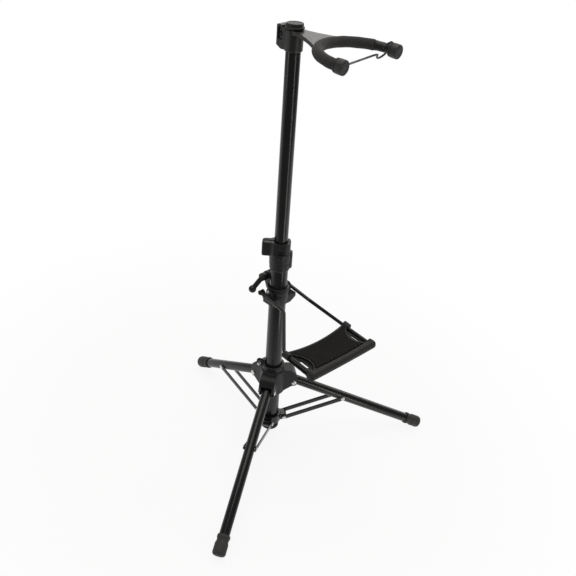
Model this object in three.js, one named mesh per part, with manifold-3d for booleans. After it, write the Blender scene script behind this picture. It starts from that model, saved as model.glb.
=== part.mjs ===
// Folding floor stand for a hanging wind instrument: a tripod with a sliding hub, a two-stage tube,
// a cradle on a bent rod frame and a padded yoke. Millimetres, +Z up. Everything is laid out along
// the pole, and the finished pole group leans back until all three feet lie on the floor.

import * as THREE from 'three';
import { mergeVertices } from 'three/addons/utils/BufferGeometryUtils.js';
import Module from 'manifold-3d';

const wasm = await Module();
wasm.setup();

const degree = Math.PI / 180;

// Whole stand
const leanAngle = 6.58 * degree;
const floorOnPole = 16;
const fitGap = 0.3;
const overrun = 1;

// Tubes
const lowerRadius = 12.5;
const lowerWall = 1.5;
const lowerLength = 323;
const plugLength = 7.4;
const plugWall = 1.2;
const plugFloor = 2;
const groundGap = 8.6;
const upperRadius = 9.5;
const upperWall = 1.2;
const upperLength = 350;
const upperInsert = 59.2;
const bushFlange = 3;
const bushSpigot = 14;

// Tripod
const frontSpread = 57.05 * degree;
const legRadius = 7.5;
const legWall = 1.2;
const legDrop = 26.37 * degree;
const legPivotReach = 32;
const legPivotRise = 17.1;
const legHeel = 8;
const footRadius = 9.5;
const footLength = 28;
const footNeck = 8.9;
const footBevel = 2.2;
const footBottom = 3.5;
const footFlat = 0.5;
const stayLeg = 92.8;
const stayWidth = 6;
const stayThickness = 1.5;
const bracketReach = 21.07;
const bracketHeight = 46;
const bracketTall = 14;
const bracketWall = 3.6;
const lugRadius = 5.2;
const rivetRadius = 1.9;
const rivetHead = 3.3;
const rivetDome = 1.3;

// Hub
const hubBottom = 101;
const hubNeck = 5;
const hubRingTall = 8;
const hubRingWall = 4.4;
const hubCoreWall = 6.6;
const housingWidth = 24;
const housingCrown = 15;
const housingCrownReach = 23;
const housingCrownRise = 30;
const housingBoss = 6.8;
const housingRoot = 14;
const housingCrownEnd = 10 * degree;
const housingBossEnd = 110 * degree;
const hubEarAngle = 135.2 * degree;
const hubEarReach = 21.5;
const hubEarRise = 0.5;
const hubEarRadius = 4.6;
const hubEarWidth = 9;
const hubEarSlit = 1.6;
const legPinRadius = 2.2;
const legPinHead = 3.9;

// Height clamp
const clampAngle = 135.2 * degree;
const sleeveTall = 26;
const sleeveWall = 2;
const sleeveTaper = 3;
const sleeveRidge = 0.7;
const ridgeWidth = 2;
const blockTall = 18;
const blockFace = 12.5;
const blockTail = 14;
const lugReach = 25.5;
const lugDepth = 15.6;
const lugCorner = 4.5;
const clampSlit = 1.8;
const clampBuried = 6;
const knobRadius = 6.5;
const knobThick = 8;
const knobFlutes = 8;
const knobStandOff = 0.9;
const screwRadius = 2.5;
const screwReach = 19.5;
const screwLift = 5.2;
const clampPinRadius = 2;

// Support clamp
const supportDrop = 41.9;
const ringTall = 14;
const ringWall = 2.7;
const wingHalf = 24;
const wingStep = 0.4;
const wingEdge = 5;
const wingTall = 18.6;
const wingFootHalf = 13.5;
const wingRear = 5;
const wingFront = 13;
const wingWall = 2.6;
const cheekHalf = 20;
const cheekThick = 3.2;
const cheekRadius = 5;
const cheekReach = 1;
const cheekRise = 9.6;
const earRadius = 6.8;
const earReach = 20;
const earRise = 23;
const earHalf = 6.5;
const earSlit = 2.4;
const hingeReach = 10;
const hingeRise = 5.5;
const hingeEar = 3.8;
const hingeEarThick = 3;
const leverHub = 5.2;
const leverHubLong = 7.4;
const washerRadius = 5.4;
const washerThick = 1.5;
const leverArm = 3;
const leverKnob = 5;
const leverKnobSide = 29;
const leverKnobDrop = 16;
const leverKnobBack = 3;

// Rod frame and tray
const rodRadius = 2.5;
const rodSide = 24.5;
const rodBendReach = 40;
const rodBendFall = 6;
const rodEye = 4.4;
const rodPin = 1.6;
const rodBend = 9;
const trayReach = 81;
const trayFall = 38.5;
const trayTilt = 4 * degree;
const trayDepth = 60;
const trayLength = 123;
const trayDeck = 5.6;
const trayRidge = 1.7;
const trayRidgeWide = 3.4;
const trayLip = 5.2;
const trayLipLift = 1.2;
const trayLipRoot = 6.2;
const trayLipEnd = 144 * degree;
const traySag = 3.6;
const trayWaist = 2;
const trayTab = 10.5;
const trayBarInset = 4.6;
const trayNotch = 7.4;
const moonRadius = 25;
const moonDepth = 19.5;
const moonFloor = 2.4;
const moonRim = 2.2;
const moonRimTall = 2;
const slotLength = 16;
const slotWidth = 3.4;
const slotInset = 11;
const padThick = 2.2;
const padBevel = 0.8;
const padMargin = 0.8;
const sagFrontShare = 0.2;
const sagSteps = 8;

// Head
const yokeTurn = 8.1 * degree;
const yokeLift = 3.4;
const yokeDrop = 4.6 * degree;
const yokeRadius = 54.8;
const yokeReach = 104;
const yokeArm = 11;
const yokeRodRadius = 4;
const foamRadius = 6.75;
const wireSleeveLength = 20;
const wireSleeveRadius = 6.2;
const capRadius = 8.75;
const capNeck = 7.4;
const capLength = 12;
const capNeckLength = 3;
const capBevel = 1;
const capFloor = 3;
const headWall = 1.7;
const headDepth = 19;
const headRoofThick = 6.8;
const plateTop = 3.4;
const plateWaist = 18;
const plateWaistShare = 0.66;
const plateThick = 4.6;
const plateRoot = 10.5;
const plateMouth = 37 * degree;
const headBlockBack = 22;
const headBlockRise = 10;
const headBlockFall = 10;
const headBlockHalf = 7;
const headRib = 2.6;
const headPocket = 2.4;
const headSlit = 1.6;
const headScrewFall = 1;
const headScrewHead = 2.8;
const knobDisc = 9.5;
const topFlange = 11.5;
const topFlangeThick = 2.6;
const topKnobTall = 7.4;
const topKnobEdge = 1.2;
const topScrewLength = 22;
const wireRadius = 1;
const wireRing = 10.4;
const wireRingInset = 18;
const wireRingDrop = 2.4;
const wireRingLean = 3.5;
const wireLift = 2;
const wireJoin = 25 * degree;
const yokeStep = 9;

// Facets and shares
const crownShare = 0.55;
const ridgeShare = 0.6;
const fluteReachShare = 1.12;
const fluteShare = 0.25;
const uprightShare = 0.9;
const ridgeSlopeShare = 0.25;
const plateEaseShare = 6;
const tubeSides = 20;
const smallSides = 8;
const wireSides = 6;
const curveSteps = 4;
const bendSteps = 4;

// Places that follow from the sizes above
const lowerBottom = floorOnPole + groundGap + plugFloor + fitGap;
const lowerTop = lowerBottom + lowerLength;
const lowerSeat = lowerRadius + fitGap;
const legPivotHeight = hubBottom + legPivotRise;
const housingCrownHeight = hubBottom + housingCrownRise;
const hubTop = housingCrownHeight + housingCrown + hubNeck;
const upperBottom = lowerTop - upperInsert;
const upperTop = upperBottom + upperLength;
const upperSeat = upperRadius + fitGap;
const headRoof = upperTop + fitGap;
const headHeight = headRoof - headDepth;
const headTop = headRoof + headRoofThick;
const headBlockTop = headRoof + headBlockRise;
const headBlockLow = headRoof - headBlockFall;
const headScrewHeight = headRoof - headScrewFall;
const yokeHeight = headRoof + yokeLift;
const blockLow = lowerTop - clampBuried;
const blockTop = blockLow + blockTall;
const sleeveLow = blockLow - sleeveTall;
const ringBottom = sleeveLow - supportDrop;
const ringTop = ringBottom + ringTall;
const wingTop = ringBottom - wingStep;
const wingFoot = wingTop - wingTall;
const cheekHeight = ringBottom + cheekRise;
const earHeight = ringBottom + earRise;
const hingeHeight = ringBottom + hingeRise;
const rodBendHeight = hingeHeight - rodBendFall;
const trayHeight = hingeHeight - trayFall;
const legs = [
  { side: 'left', azimuth: -Math.PI / 2 - frontSpread },
  { side: 'right', azimuth: -Math.PI / 2 + frontSpread },
  { side: 'rear', azimuth: Math.PI / 2 },
];
const frontAzimuth = -Math.PI / 2;

// Surfaces
const surface = (color, roughness, metalness) => new THREE.MeshStandardMaterial({ color, roughness, metalness });
const satinBlack = surface(0x17171a, 0.38, 0.6);
const mouldedBlack = surface(0x1f1f20, 0.55, 0);
const rubberBlack = surface(0x1a1a1a, 0.8, 0);
const foamBlack = surface(0x2a2a2c, 0.9, 0);
const feltBlack = surface(0x19191b, 1, 0);
const brightZinc = surface(0xc8c8c6, 0.25, 1);

// Solids and cuts
function solidOf(geometry) {
  const bare = geometry.clone();
  bare.deleteAttribute('normal');
  bare.deleteAttribute('uv');
  const merged = mergeVertices(bare);
  const corners = merged.index.array;
  const kept = [];
  for (let i = 0; i < corners.length; i += 3) {
    const [a, b, c] = corners.slice(i, i + 3);
    if (a !== b && b !== c && c !== a) kept.push(a, b, c);
  }
  const vertProperties = new Float32Array(merged.attributes.position.array);
  const triVerts = new Uint32Array(kept);
  return new wasm.Manifold(new wasm.Mesh({ numProp: 3, vertProperties, triVerts }));
}

function geometryOf(solid) {
  const mesh = solid.getMesh();
  const geometry = new THREE.BufferGeometry();
  geometry.setAttribute('position', new THREE.BufferAttribute(mesh.vertProperties, 3));
  geometry.setIndex(new THREE.BufferAttribute(mesh.triVerts, 1));
  return geometry;
}

const join = (...shapes) => geometryOf(shapes.map(solidOf).reduce((whole, next) => whole.add(next)));

function cut(body, ...tools) {
  return geometryOf(tools.map(solidOf).reduce((left, tool) => left.subtract(tool), solidOf(body)));
}

const common = (body, keep) => geometryOf(solidOf(body).intersect(solidOf(keep)));

// A profile of [radius, height] pairs, counter-clockwise, turned about Z
function revolve(profile, sides = tubeSides) {
  const points = profile.map(([radius, height]) => new THREE.Vector2(radius, height));
  return new THREE.LatheGeometry(points, sides).rotateX(Math.PI / 2);
}

function rod(radius, from, to, sides = tubeSides) {
  return revolve([[0, from], [radius, from], [radius, to], [0, to]], sides);
}

function pipe(outer, inner, from, to, sides = tubeSides) {
  return revolve([[inner, from], [outer, from], [outer, to], [inner, to], [inner, from]], sides);
}

function box(fromX, toX, fromY, toY, fromZ, toZ) {
  const block = new THREE.BoxGeometry(toX - fromX, toY - fromY, toZ - fromZ);
  return block.translate((fromX + toX) / 2, (fromY + toY) / 2, (fromZ + toZ) / 2);
}

// An outline in the X-Z plane, given width along Y and centred on it
function slab(outline, width, side = 0) {
  const settings = { depth: width, bevelEnabled: false, curveSegments: curveSteps };
  const plate = new THREE.ExtrudeGeometry(outline, settings).translate(0, 0, -width / 2);
  return plate.rotateX(Math.PI / 2).translate(0, side, 0);
}

// An outline in the X-Y plane, standing from one height to another
function prism(outline, from, to) {
  const settings = { depth: to - from, bevelEnabled: false, curveSegments: curveSteps };
  return new THREE.ExtrudeGeometry(outline, settings).translate(0, 0, from);
}

function polygon(corners) {
  return new THREE.Shape(corners.map(([x, y]) => new THREE.Vector2(x, y)));
}

function disc(x, y, radius) {
  const outline = new THREE.Shape();
  outline.absarc(x, y, radius, 0, 2 * Math.PI);
  return outline;
}

// A bar outline with round ends about two points
function stadium(from, to, radius) {
  const turn = Math.atan2(to[1] - from[1], to[0] - from[0]);
  const outline = new THREE.Shape();
  outline.absarc(...from, radius, turn + Math.PI / 2, turn + 3 * Math.PI / 2);
  outline.absarc(...to, radius, turn - Math.PI / 2, turn + Math.PI / 2);
  outline.closePath();
  return outline;
}

// A cylinder along Y through a point of the X-Z plane
function crossRod(radius, [x, z], fromY, toY, sides = smallSides) {
  return rod(radius, fromY, toY, sides).rotateX(-Math.PI / 2).translate(x, 0, z);
}

// A rivet along Y with a domed head at each end of its grip
function rivet(radius, head, dome, grip, [x, z]) {
  const half = grip / 2;
  const crown = head * crownShare;
  const profile = [
    [0, -half - dome], [crown, -half - dome], [head, -half], [radius, -half],
    [radius, half], [head, half], [crown, half + dome], [0, half + dome],
  ];
  return revolve(profile, smallSides).rotateX(-Math.PI / 2).translate(x, 0, z);
}

// A round bar through a row of points, each inner corner bent on a radius
function bentRod(points, radius, bend, sides) {
  const way = [points[0]];
  for (let i = 1; i < points.length - 1; i += 1) {
    const [before, here, after] = [points[i - 1], points[i], points[i + 1]];
    const back = before.clone().sub(here).normalize();
    const ahead = after.clone().sub(here).normalize();
    const reach = bend / Math.tan(back.angleTo(ahead) / 2);
    const corner = new THREE.QuadraticBezierCurve3(
      here.clone().addScaledVector(back, reach), here, here.clone().addScaledVector(ahead, reach));
    way.push(...corner.getPoints(bendSteps));
  }
  way.push(points.at(-1));
  return sweep(way, radius, sides);
}

// The direction at each point of a row, from its neighbours
function directions(way) {
  return way.map((point, i) => {
    const before = way[Math.max(i - 1, 0)];
    const after = way[Math.min(i + 1, way.length - 1)];
    return after.clone().sub(before).normalize();
  });
}

// A closed round tube through a row of points, with the section carried along without twist
function sweep(way, radius, sides, tangents = directions(way)) {
  const first = Math.abs(tangents[0].z) < uprightShare ? new THREE.Vector3(0, 0, 1) : new THREE.Vector3(1, 0, 0);
  let normal = first.cross(tangents[0]).normalize();
  const positions = [];
  way.forEach((point, i) => {
    if (i > 0) {
      const turn = new THREE.Quaternion().setFromUnitVectors(tangents[i - 1], tangents[i]);
      normal = normal.clone().applyQuaternion(turn);
    }
    const binormal = tangents[i].clone().cross(normal);
    for (let side = 0; side < sides; side += 1) {
      const angle = 2 * Math.PI * side / sides;
      const rim = point.clone().addScaledVector(normal, radius * Math.cos(angle));
      positions.push(...rim.addScaledVector(binormal, radius * Math.sin(angle)).toArray());
    }
  });
  positions.push(...way[0].toArray(), ...way.at(-1).toArray());
  const last = (way.length - 1) * sides;
  const startCentre = way.length * sides;
  const faces = [];
  for (let side = 0; side < sides; side += 1) {
    const next = (side + 1) % sides;
    for (let ring = 0; ring < last; ring += sides) {
      faces.push(ring + side, ring + next, ring + sides + next);
      faces.push(ring + side, ring + sides + next, ring + sides + side);
    }
    faces.push(startCentre, next, side);
    faces.push(startCentre + 1, last + side, last + next);
  }
  const geometry = new THREE.BufferGeometry();
  geometry.setAttribute('position', new THREE.Float32BufferAttribute(positions, 3));
  geometry.setIndex(faces);
  return geometry;
}

// The scene graph
const stand = new THREE.Group();
const pole = new THREE.Group();
pole.rotation.x = -leanAngle;
stand.add(pole);

const frameAt = (azimuth, parent = pole) => {
  const frame = new THREE.Group();
  frame.rotation.z = azimuth;
  parent.add(frame);
  return frame;
};
const front = frameAt(frontAzimuth);
const clampFrame = frameAt(clampAngle);
const headFrame = frameAt(frontAzimuth + yokeTurn);
const yoke = new THREE.Group();
yoke.position.z = yokeHeight;
yoke.rotation.y = yokeDrop;
headFrame.add(yoke);

function place(name, geometry, material, parent = pole) {
  const mesh = new THREE.Mesh(geometryOf(solidOf(geometry)), material);
  mesh.geometry.computeVertexNormals();
  mesh.name = name;
  parent.add(mesh);
}

// Lower tube, its end plug and the fixed bracket of the stay bars
const lowerBore = lowerRadius - lowerWall;
place('lower_tube', pipe(lowerRadius, lowerBore, lowerBottom, lowerTop), satinBlack);

const plugBottom = floorOnPole + groundGap;
const plugTop = plugBottom + plugLength;
const plugRim = lowerSeat + plugWall;
place('tube_end_plug', revolve([
  [0, plugBottom], [plugRim - plugWall, plugBottom], [plugRim, plugBottom + plugWall], [plugRim, plugTop],
  [lowerSeat, plugTop], [lowerSeat, plugBottom + plugFloor], [0, plugBottom + plugFloor],
]), rubberBlack);

const rodEyeThick = 2 * rodRadius;
const bracketPivot = [bracketReach, bracketHeight];
const stayInner = legRadius + fitGap;
const stayOuter = stayInner + stayThickness;
const lugHalf = legRadius;
const bracketRing = lowerSeat + bracketWall;
const bracketLow = bracketHeight - bracketTall / 2;
const bracketRings = pipe(bracketRing, lowerSeat, bracketLow, bracketLow + bracketTall);
const bracketLugs = legs.map(({ azimuth }) => cut(
  slab(stadium([lowerRadius, bracketHeight], bracketPivot, lugRadius), 2 * lugHalf),
  crossRod(rivetRadius + fitGap, bracketPivot, -lugHalf - overrun, lugHalf + overrun),
).rotateZ(azimuth));
const bracketBore = rod(lowerSeat, bracketLow - overrun, bracketLow + bracketTall + overrun);
place('bottom_bracket', cut(join(bracketRings, ...bracketLugs), bracketBore), satinBlack);

// Hub: a sliding sleeve, three leg housings open below, and a split ear with its screw
const legPivot = [legPivotReach, legPivotHeight];
const legWay = [Math.cos(legDrop), -Math.sin(legDrop)];
const legUp = [Math.sin(legDrop), Math.cos(legDrop)];
const along = (distance, lift = 0) => [
  legPivot[0] + distance * legWay[0] + lift * legUp[0],
  legPivot[1] + distance * legWay[1] + lift * legUp[1],
];
const heelSwing = Math.hypot(legHeel, legRadius) + 2 * fitGap;

function housing(azimuth) {
  const outline = new THREE.Shape();
  outline.moveTo(housingRoot, hubBottom + fitGap);
  outline.lineTo(housingRoot, housingCrownHeight + housingCrown);
  outline.absarc(housingCrownReach, housingCrownHeight, housingCrown, Math.PI / 2, -housingCrownEnd, true);
  outline.absarc(...legPivot, housingBoss, housingCrownEnd, -housingBossEnd, true);
  outline.closePath();
  return slab(outline, housingWidth).rotateZ(azimuth);
}

function housingCavity(azimuth) {
  const lift = legRadius + fitGap;
  const heel = legPivotReach - heelSwing;
  const width = 2 * stayInner;
  const below = hubBottom - overrun;
  const outer = along(legPivotReach, lift);
  const swing = slab(polygon([[heel, legPivotHeight], along(0, lift), outer, [outer[0], below], [heel, below]]), width);
  const pinHole = crossRod(legPinRadius + fitGap, legPivot, -housingWidth, housingWidth);
  const heelRoom = crossRod(heelSwing, legPivot, -stayInner, stayInner, 2 * wireSides);
  return join(swing, heelRoom, pinHole).rotateZ(azimuth);
}

const hubRing = lowerSeat + hubRingWall;
const hubCore = lowerSeat + hubCoreWall;
const hubShoulder = hubTop - hubRingTall;
const hubSleeve = revolve([
  [lowerSeat, hubBottom], [hubCore, hubBottom], [hubCore, hubShoulder], [hubRing, hubShoulder], [hubRing, hubTop],
  [lowerSeat, hubTop], [lowerSeat, hubBottom],
]);
const hubEarPoint = [hubEarReach, hubTop - hubEarRise];
const hubEar = cut(
  slab(stadium([lowerRadius, hubTop - hubEarRadius], hubEarPoint, hubEarRadius), hubEarWidth),
  box(lowerRadius, hubEarReach + 2 * hubEarRadius, -hubEarSlit / 2, hubEarSlit / 2, hubShoulder,
    hubTop + hubEarRadius + overrun),
  crossRod(rivetRadius + fitGap, hubEarPoint, -hubEarWidth, hubEarWidth),
).rotateZ(hubEarAngle);
const hubBore = rod(lowerSeat, hubBottom - overrun, hubTop + hubEarRadius + overrun);
const hubCavities = legs.map(({ azimuth }) => housingCavity(azimuth));
const hubBody = join(hubSleeve, hubEar, ...legs.map(({ azimuth }) => housing(azimuth)));
place('hub', cut(hubBody, hubBore, ...hubCavities), mouldedBlack);
const hubEarGrip = hubEarWidth + 2 * fitGap;
place('hub_screw', rivet(rivetRadius, rivetHead, rivetDome, hubEarGrip, hubEarPoint), brightZinc, frameAt(hubEarAngle));

// Legs, stay bars, rivets and rubber feet
const stayPoint = along(stayLeg);
const pinGrip = housingWidth + 2 * fitGap;
const stayGrip = 2 * stayOuter + 2 * fitGap;

// The foot is drawn back from its outer end, and its lowest edge is cut flat by the floor
const footEdge = footRadius - footBevel;
const footProfile = [
  [0, 0], [footEdge, 0], [footRadius, -footBevel], [footRadius, -footLength / 2], [footNeck, -footLength],
];

function footReach(azimuth) {
  const fall = Math.cos(legDrop) * Math.sin(azimuth) * Math.sin(leanAngle) + Math.sin(legDrop) * Math.cos(leanAngle);
  const spread = Math.sqrt(1 - fall * fall);
  const lowest = Math.max(...footProfile.map(([radius, end]) => end * fall + radius * spread));
  const pivotLift = (legPivotHeight - floorOnPole) * Math.cos(leanAngle);
  const pivotRise = pivotLift - legPivotReach * Math.sin(azimuth) * Math.sin(leanAngle);
  return (pivotRise + footFlat - lowest) / fall;
}

function legShape(reach) {
  const tube = pipe(legRadius, legRadius - legWall, -legHeel, reach - footBottom - fitGap);
  const laid = tube.rotateY(Math.PI / 2 + legDrop).translate(legPivot[0], 0, legPivot[1]);
  return cut(
    laid,
    crossRod(legPinRadius + fitGap, legPivot, -2 * legRadius, 2 * legRadius),
    crossRod(rivetRadius + fitGap, stayPoint, -2 * legRadius, 2 * legRadius),
  );
}

function footShape(reach, azimuth) {
  const bore = legRadius + fitGap;
  const socket = [[bore, -footLength], [bore, -footBottom], [0, -footBottom]];
  const cap = revolve([...footProfile, ...socket].reverse());
  const laid = cap.translate(0, 0, reach).rotateY(Math.PI / 2 + legDrop);
  const size = 4 * footLength;
  const floor = box(-size, size, -size, size, -size, 0);
  floor.translate(0, 0, floorOnPole * Math.cos(leanAngle));
  const centre = new THREE.Vector3((legPivotReach + reach) * Math.cos(azimuth), 0, 0);
  centre.y = (legPivotReach + reach) * Math.sin(azimuth);
  floor.translate(centre.x, centre.y, 0).rotateX(leanAngle).rotateZ(-azimuth);
  return cut(laid.translate(legPivot[0], 0, legPivot[1]), floor);
}

const stayHole = (point) => new THREE.Path().absarc(...point, rivetRadius + fitGap, 0, 2 * Math.PI);
const stayOutline = stadium(bracketPivot, stayPoint, stayWidth / 2);
stayOutline.holes.push(stayHole(bracketPivot), stayHole(stayPoint));
const stayMiddle = (stayInner + stayOuter) / 2;

for (const { side, azimuth } of legs) {
  const frame = frameAt(azimuth);
  const reach = footReach(azimuth);
  place(`leg_${side}`, legShape(reach), satinBlack, frame);
  place(`foot_${side}`, footShape(reach, azimuth), rubberBlack, frame);
  place(`leg_pin_${side}`, rivet(legPinRadius, legPinHead, rivetDome, pinGrip, legPivot), brightZinc, frame);
  place(`leg_rivet_${side}`, crossRod(rivetRadius, stayPoint, -legRadius, legRadius), brightZinc, frame);
  place(`bracket_rivet_${side}`, rivet(rivetRadius, rivetHead, rivetDome, stayGrip, bracketPivot), brightZinc, frame);
  const throughRivet = rivet(rivetRadius, rivetHead, rivetDome, stayGrip, stayPoint);
  for (const [hand, edge] of [['a', -stayGrip], ['b', stayGrip]]) {
    const past = crossRod(2 * rivetHead, stayPoint, Math.min(-edge, Math.sign(edge) * stayInner),
      Math.max(-edge, Math.sign(edge) * stayInner));
    place(`stay_${side}_${hand}`, slab(stayOutline, stayThickness, Math.sign(edge) * stayMiddle), satinBlack, frame);
    place(`stay_rivet_${side}_${hand}`, cut(throughRivet, past), brightZinc, frame);
  }
}

// Upper tube with the bush on its hidden end
place('upper_tube', pipe(upperRadius, upperRadius - upperWall, upperBottom, upperTop), satinBlack);
const bushTop = upperBottom - fitGap;
const bushNeck = upperRadius - upperWall - fitGap;
place('slide_bush', revolve([
  [0, bushTop - bushFlange], [lowerBore - fitGap, bushTop - bushFlange], [lowerBore - fitGap, bushTop],
  [bushNeck, bushTop], [bushNeck, bushTop + bushSpigot], [0, bushTop + bushSpigot],
]), mouldedBlack);

// Height clamp: a sleeve on the lower tube with a split block above it that grips the upper tube
const sleeveRadius = lowerSeat + sleeveWall;
const ridgeAt = sleeveLow + sleeveTall * ridgeShare;

function clampBlock() {
  const half = lugDepth / 2;
  const bend = blockFace - half;
  const outline = new THREE.Shape();
  outline.moveTo(lugReach - lugCorner, half);
  outline.lineTo(blockTail, half);
  outline.quadraticCurveTo(blockFace, half, blockFace - bend / 2, (half + blockFace) / 2);
  outline.quadraticCurveTo(blockFace - bend, blockFace, 0, blockFace);
  outline.quadraticCurveTo(-blockTail, blockFace, -blockTail, 0);
  outline.quadraticCurveTo(-blockTail, -blockFace, 0, -blockFace);
  outline.quadraticCurveTo(blockFace - bend, -blockFace, blockFace - bend / 2, -(half + blockFace) / 2);
  outline.quadraticCurveTo(blockFace, -half, blockTail, -half);
  outline.lineTo(lugReach - lugCorner, -half);
  outline.quadraticCurveTo(lugReach, -half, lugReach, lugCorner - half);
  outline.lineTo(lugReach, half - lugCorner);
  outline.quadraticCurveTo(lugReach, half, lugReach - lugCorner, half);
  return prism(outline, blockLow, blockTop);
}

const clampSleeve = revolve([
  [lowerRadius, sleeveLow], [sleeveRadius - sleeveWall / 2, sleeveLow], [sleeveRadius, sleeveLow + sleeveTaper],
  [sleeveRadius, ridgeAt - ridgeWidth], [sleeveRadius + sleeveRidge, ridgeAt],
  [sleeveRadius + sleeveRidge, blockLow + overrun], [lowerRadius, blockLow + overrun], [lowerRadius, sleeveLow],
]);
const screwPoint = [screwReach, blockLow + screwLift];
const clampPinHeight = blockLow - sleeveTaper;
const clampPinHole = crossRod(clampPinRadius + fitGap, [0, clampPinHeight], lowerRadius - 2 * lowerWall, 2 * lowerRadius);
const lowerSocket = rod(lowerSeat, sleeveLow - overrun, lowerTop + fitGap);
const upperSocket = rod(upperSeat, sleeveLow, blockTop + overrun);
const clampSplit = box(0, 2 * lugReach, -clampSlit / 2, clampSlit / 2, blockLow + clampSlit, blockTop + overrun);
place('height_clamp', cut(
  join(clampBlock(), clampSleeve), lowerSocket, upperSocket, clampSplit, clampPinHole,
  crossRod(screwRadius + fitGap, screwPoint, -lugDepth, lugDepth),
), mouldedBlack, clampFrame);
place('clamp_rivet', crossRod(clampPinRadius, [0, clampPinHeight], lowerSeat, sleeveRadius + sleeveRidge + rivetDome),
  brightZinc, clampFrame);

// Knob behind the lug, with flutes round its rim, and its screw through the lug
const knobFrom = lugDepth / 2 + knobStandOff;
const flute = (index) => {
  const angle = 2 * Math.PI * index / knobFlutes;
  const reach = knobRadius * fluteReachShare;
  const at = [screwPoint[0] + reach * Math.cos(angle), screwPoint[1] + reach * Math.sin(angle)];
  return crossRod(knobRadius * fluteShare, at, -knobFrom - knobThick - overrun, -knobFrom + overrun);
};
const knobBody = crossRod(knobRadius, screwPoint, -knobFrom - knobThick, -knobFrom, tubeSides);
const knobScrew = crossRod(screwRadius, screwPoint, -knobFrom - knobThick / 2, lugDepth / 2);
const flutes = Array.from({ length: knobFlutes }, (_, index) => flute(index));
place('height_knob', join(cut(knobBody, ...flutes), knobScrew), mouldedBlack, clampFrame);

// Support clamp: split ring, two wings under the rods, upright cheeks, and ears at the back
const hingePoint = [-hingeReach, hingeHeight];
const cheekPoint = [cheekReach, cheekHeight];
const earPoint = [-earReach, earHeight];
const hingeSide = rodSide - rodEyeThick / 2 - fitGap;

// Outline of the wings seen from the front, drawn in by a wall
function wingOutline(wall) {
  const half = wingHalf - wall;
  const top = wingTop - wall;
  const edge = wingTop - wingEdge;
  const foot = wingFootHalf - wall / 2;
  return polygon([[-half, top], [-half, edge], [-foot, wingFoot], [foot, wingFoot], [half, edge], [half, top]]);
}

// An outline in the Y-Z plane, reaching from one X to another
function plank(outline, from, to) {
  const settings = { depth: to - from, bevelEnabled: false, curveSegments: curveSteps };
  const plate = new THREE.ExtrudeGeometry(outline, settings).translate(0, 0, from);
  const toSide = new THREE.Matrix4().makeBasis(
    new THREE.Vector3(0, 1, 0), new THREE.Vector3(0, 0, 1), new THREE.Vector3(1, 0, 0));
  return plate.applyMatrix4(toSide);
}

const wings = cut(
  plank(wingOutline(0), -wingRear, wingFront),
  plank(wingOutline(wingWall), -wingRear - overrun, wingFront - wingWall),
);
const ringLow = wingFoot;
const clampCore = revolve([
  [lowerRadius, ringLow], [lowerSeat + ringWall / 2, ringLow], [lowerSeat + ringWall, ringBottom],
  [lowerSeat + ringWall, ringTop], [lowerRadius, ringTop], [lowerRadius, ringLow],
]);
const cheek = (side) => slab(stadium([cheekReach, wingTop - wingWall], cheekPoint, cheekRadius), cheekThick, side);
const cheekMiddle = cheekHalf - cheekThick / 2;
const cheekHole = crossRod(rivetRadius + fitGap, cheekPoint, -wingHalf, wingHalf);
const cheekWeb = box(cheekReach - cheekRadius, cheekReach + cheekRadius, -cheekMiddle, cheekMiddle,
  wingTop - wingWall, ringTop - wingEdge);
const hingeEarMiddle = hingeSide - hingeEarThick / 2;
const hingeLug = (side) => slab(
  stadium([-wingRear / 2, wingTop - wingEdge], hingePoint, hingeEar), hingeEarThick, side);
const ears = slab(stadium([-lowerRadius, ringTop - earRadius], earPoint, earRadius), 2 * earHalf);
const earSplit = box(-2 * earReach, 0, -earSlit / 2, earSlit / 2, ringLow - overrun, earHeight + 2 * earRadius);
const clampBore = rod(lowerSeat, wingFoot - overrun, earHeight + 2 * earRadius);
place('support_clamp', cut(
  join(wings, clampCore, cheekWeb, cheek(-cheekMiddle), cheek(cheekMiddle), hingeLug(-hingeEarMiddle),
    hingeLug(hingeEarMiddle), ears),
  clampBore, earSplit, cheekHole,
  crossRod(rodPin + fitGap, hingePoint, -wingHalf, wingHalf),
  crossRod(screwRadius + fitGap, earPoint, -wingHalf, wingHalf),
), mouldedBlack, front);

// A pin along Y with a domed head at its outer end only
function headedPin(radius, head, dome, from, to, [x, z]) {
  const turned = revolve([
    [0, from], [radius, from], [radius, to], [head, to], [head, to + dome / 2], [radius, to + dome], [0, to + dome],
  ], smallSides);
  return turned.rotateX(-Math.PI / 2).translate(x, 0, z);
}

for (const [side, turn] of [['left', -1], ['right', 1]]) {
  const flip = turn < 0 ? Math.PI : 0;
  const inner = cheekHalf - cheekThick;
  const wingRivet = headedPin(rivetRadius, rivetHead, rivetDome, inner, cheekHalf + fitGap, [0, 0]);
  const rodPinFrom = hingeSide - hingeEarThick;
  const rodPinTo = rodSide + rodEyeThick / 2 + fitGap;
  const framePin = headedPin(rodPin, 2 * rodPin, rivetDome, rodPinFrom, rodPinTo, [0, 0]);
  place(`wing_rivet_${side}`, wingRivet.rotateZ(flip).translate(cheekPoint[0], 0, cheekPoint[1]), brightZinc, front);
  place(`frame_pin_${side}`, framePin.rotateZ(flip).translate(hingePoint[0], 0, hingePoint[1]), brightZinc, front);
}

// Cross screw with its bright washer, and the cranked lever that turns on it
const washerFrom = earHalf + fitGap;
const leverFrom = washerFrom + washerThick + fitGap;
const leverTo = leverFrom + leverHubLong;
const screwBody = crossRod(screwRadius, earPoint, -leverTo + leverArm, earHalf + fitGap);
const screwHead = crossRod(rivetHead, earPoint, earHalf + fitGap, earHalf + fitGap + 2 * rivetDome);
const screwWasher = crossRod(washerRadius, earPoint, -washerFrom - washerThick, -washerFrom);
place('clamp_screw', join(screwBody, screwHead, screwWasher), brightZinc, front);

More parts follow.
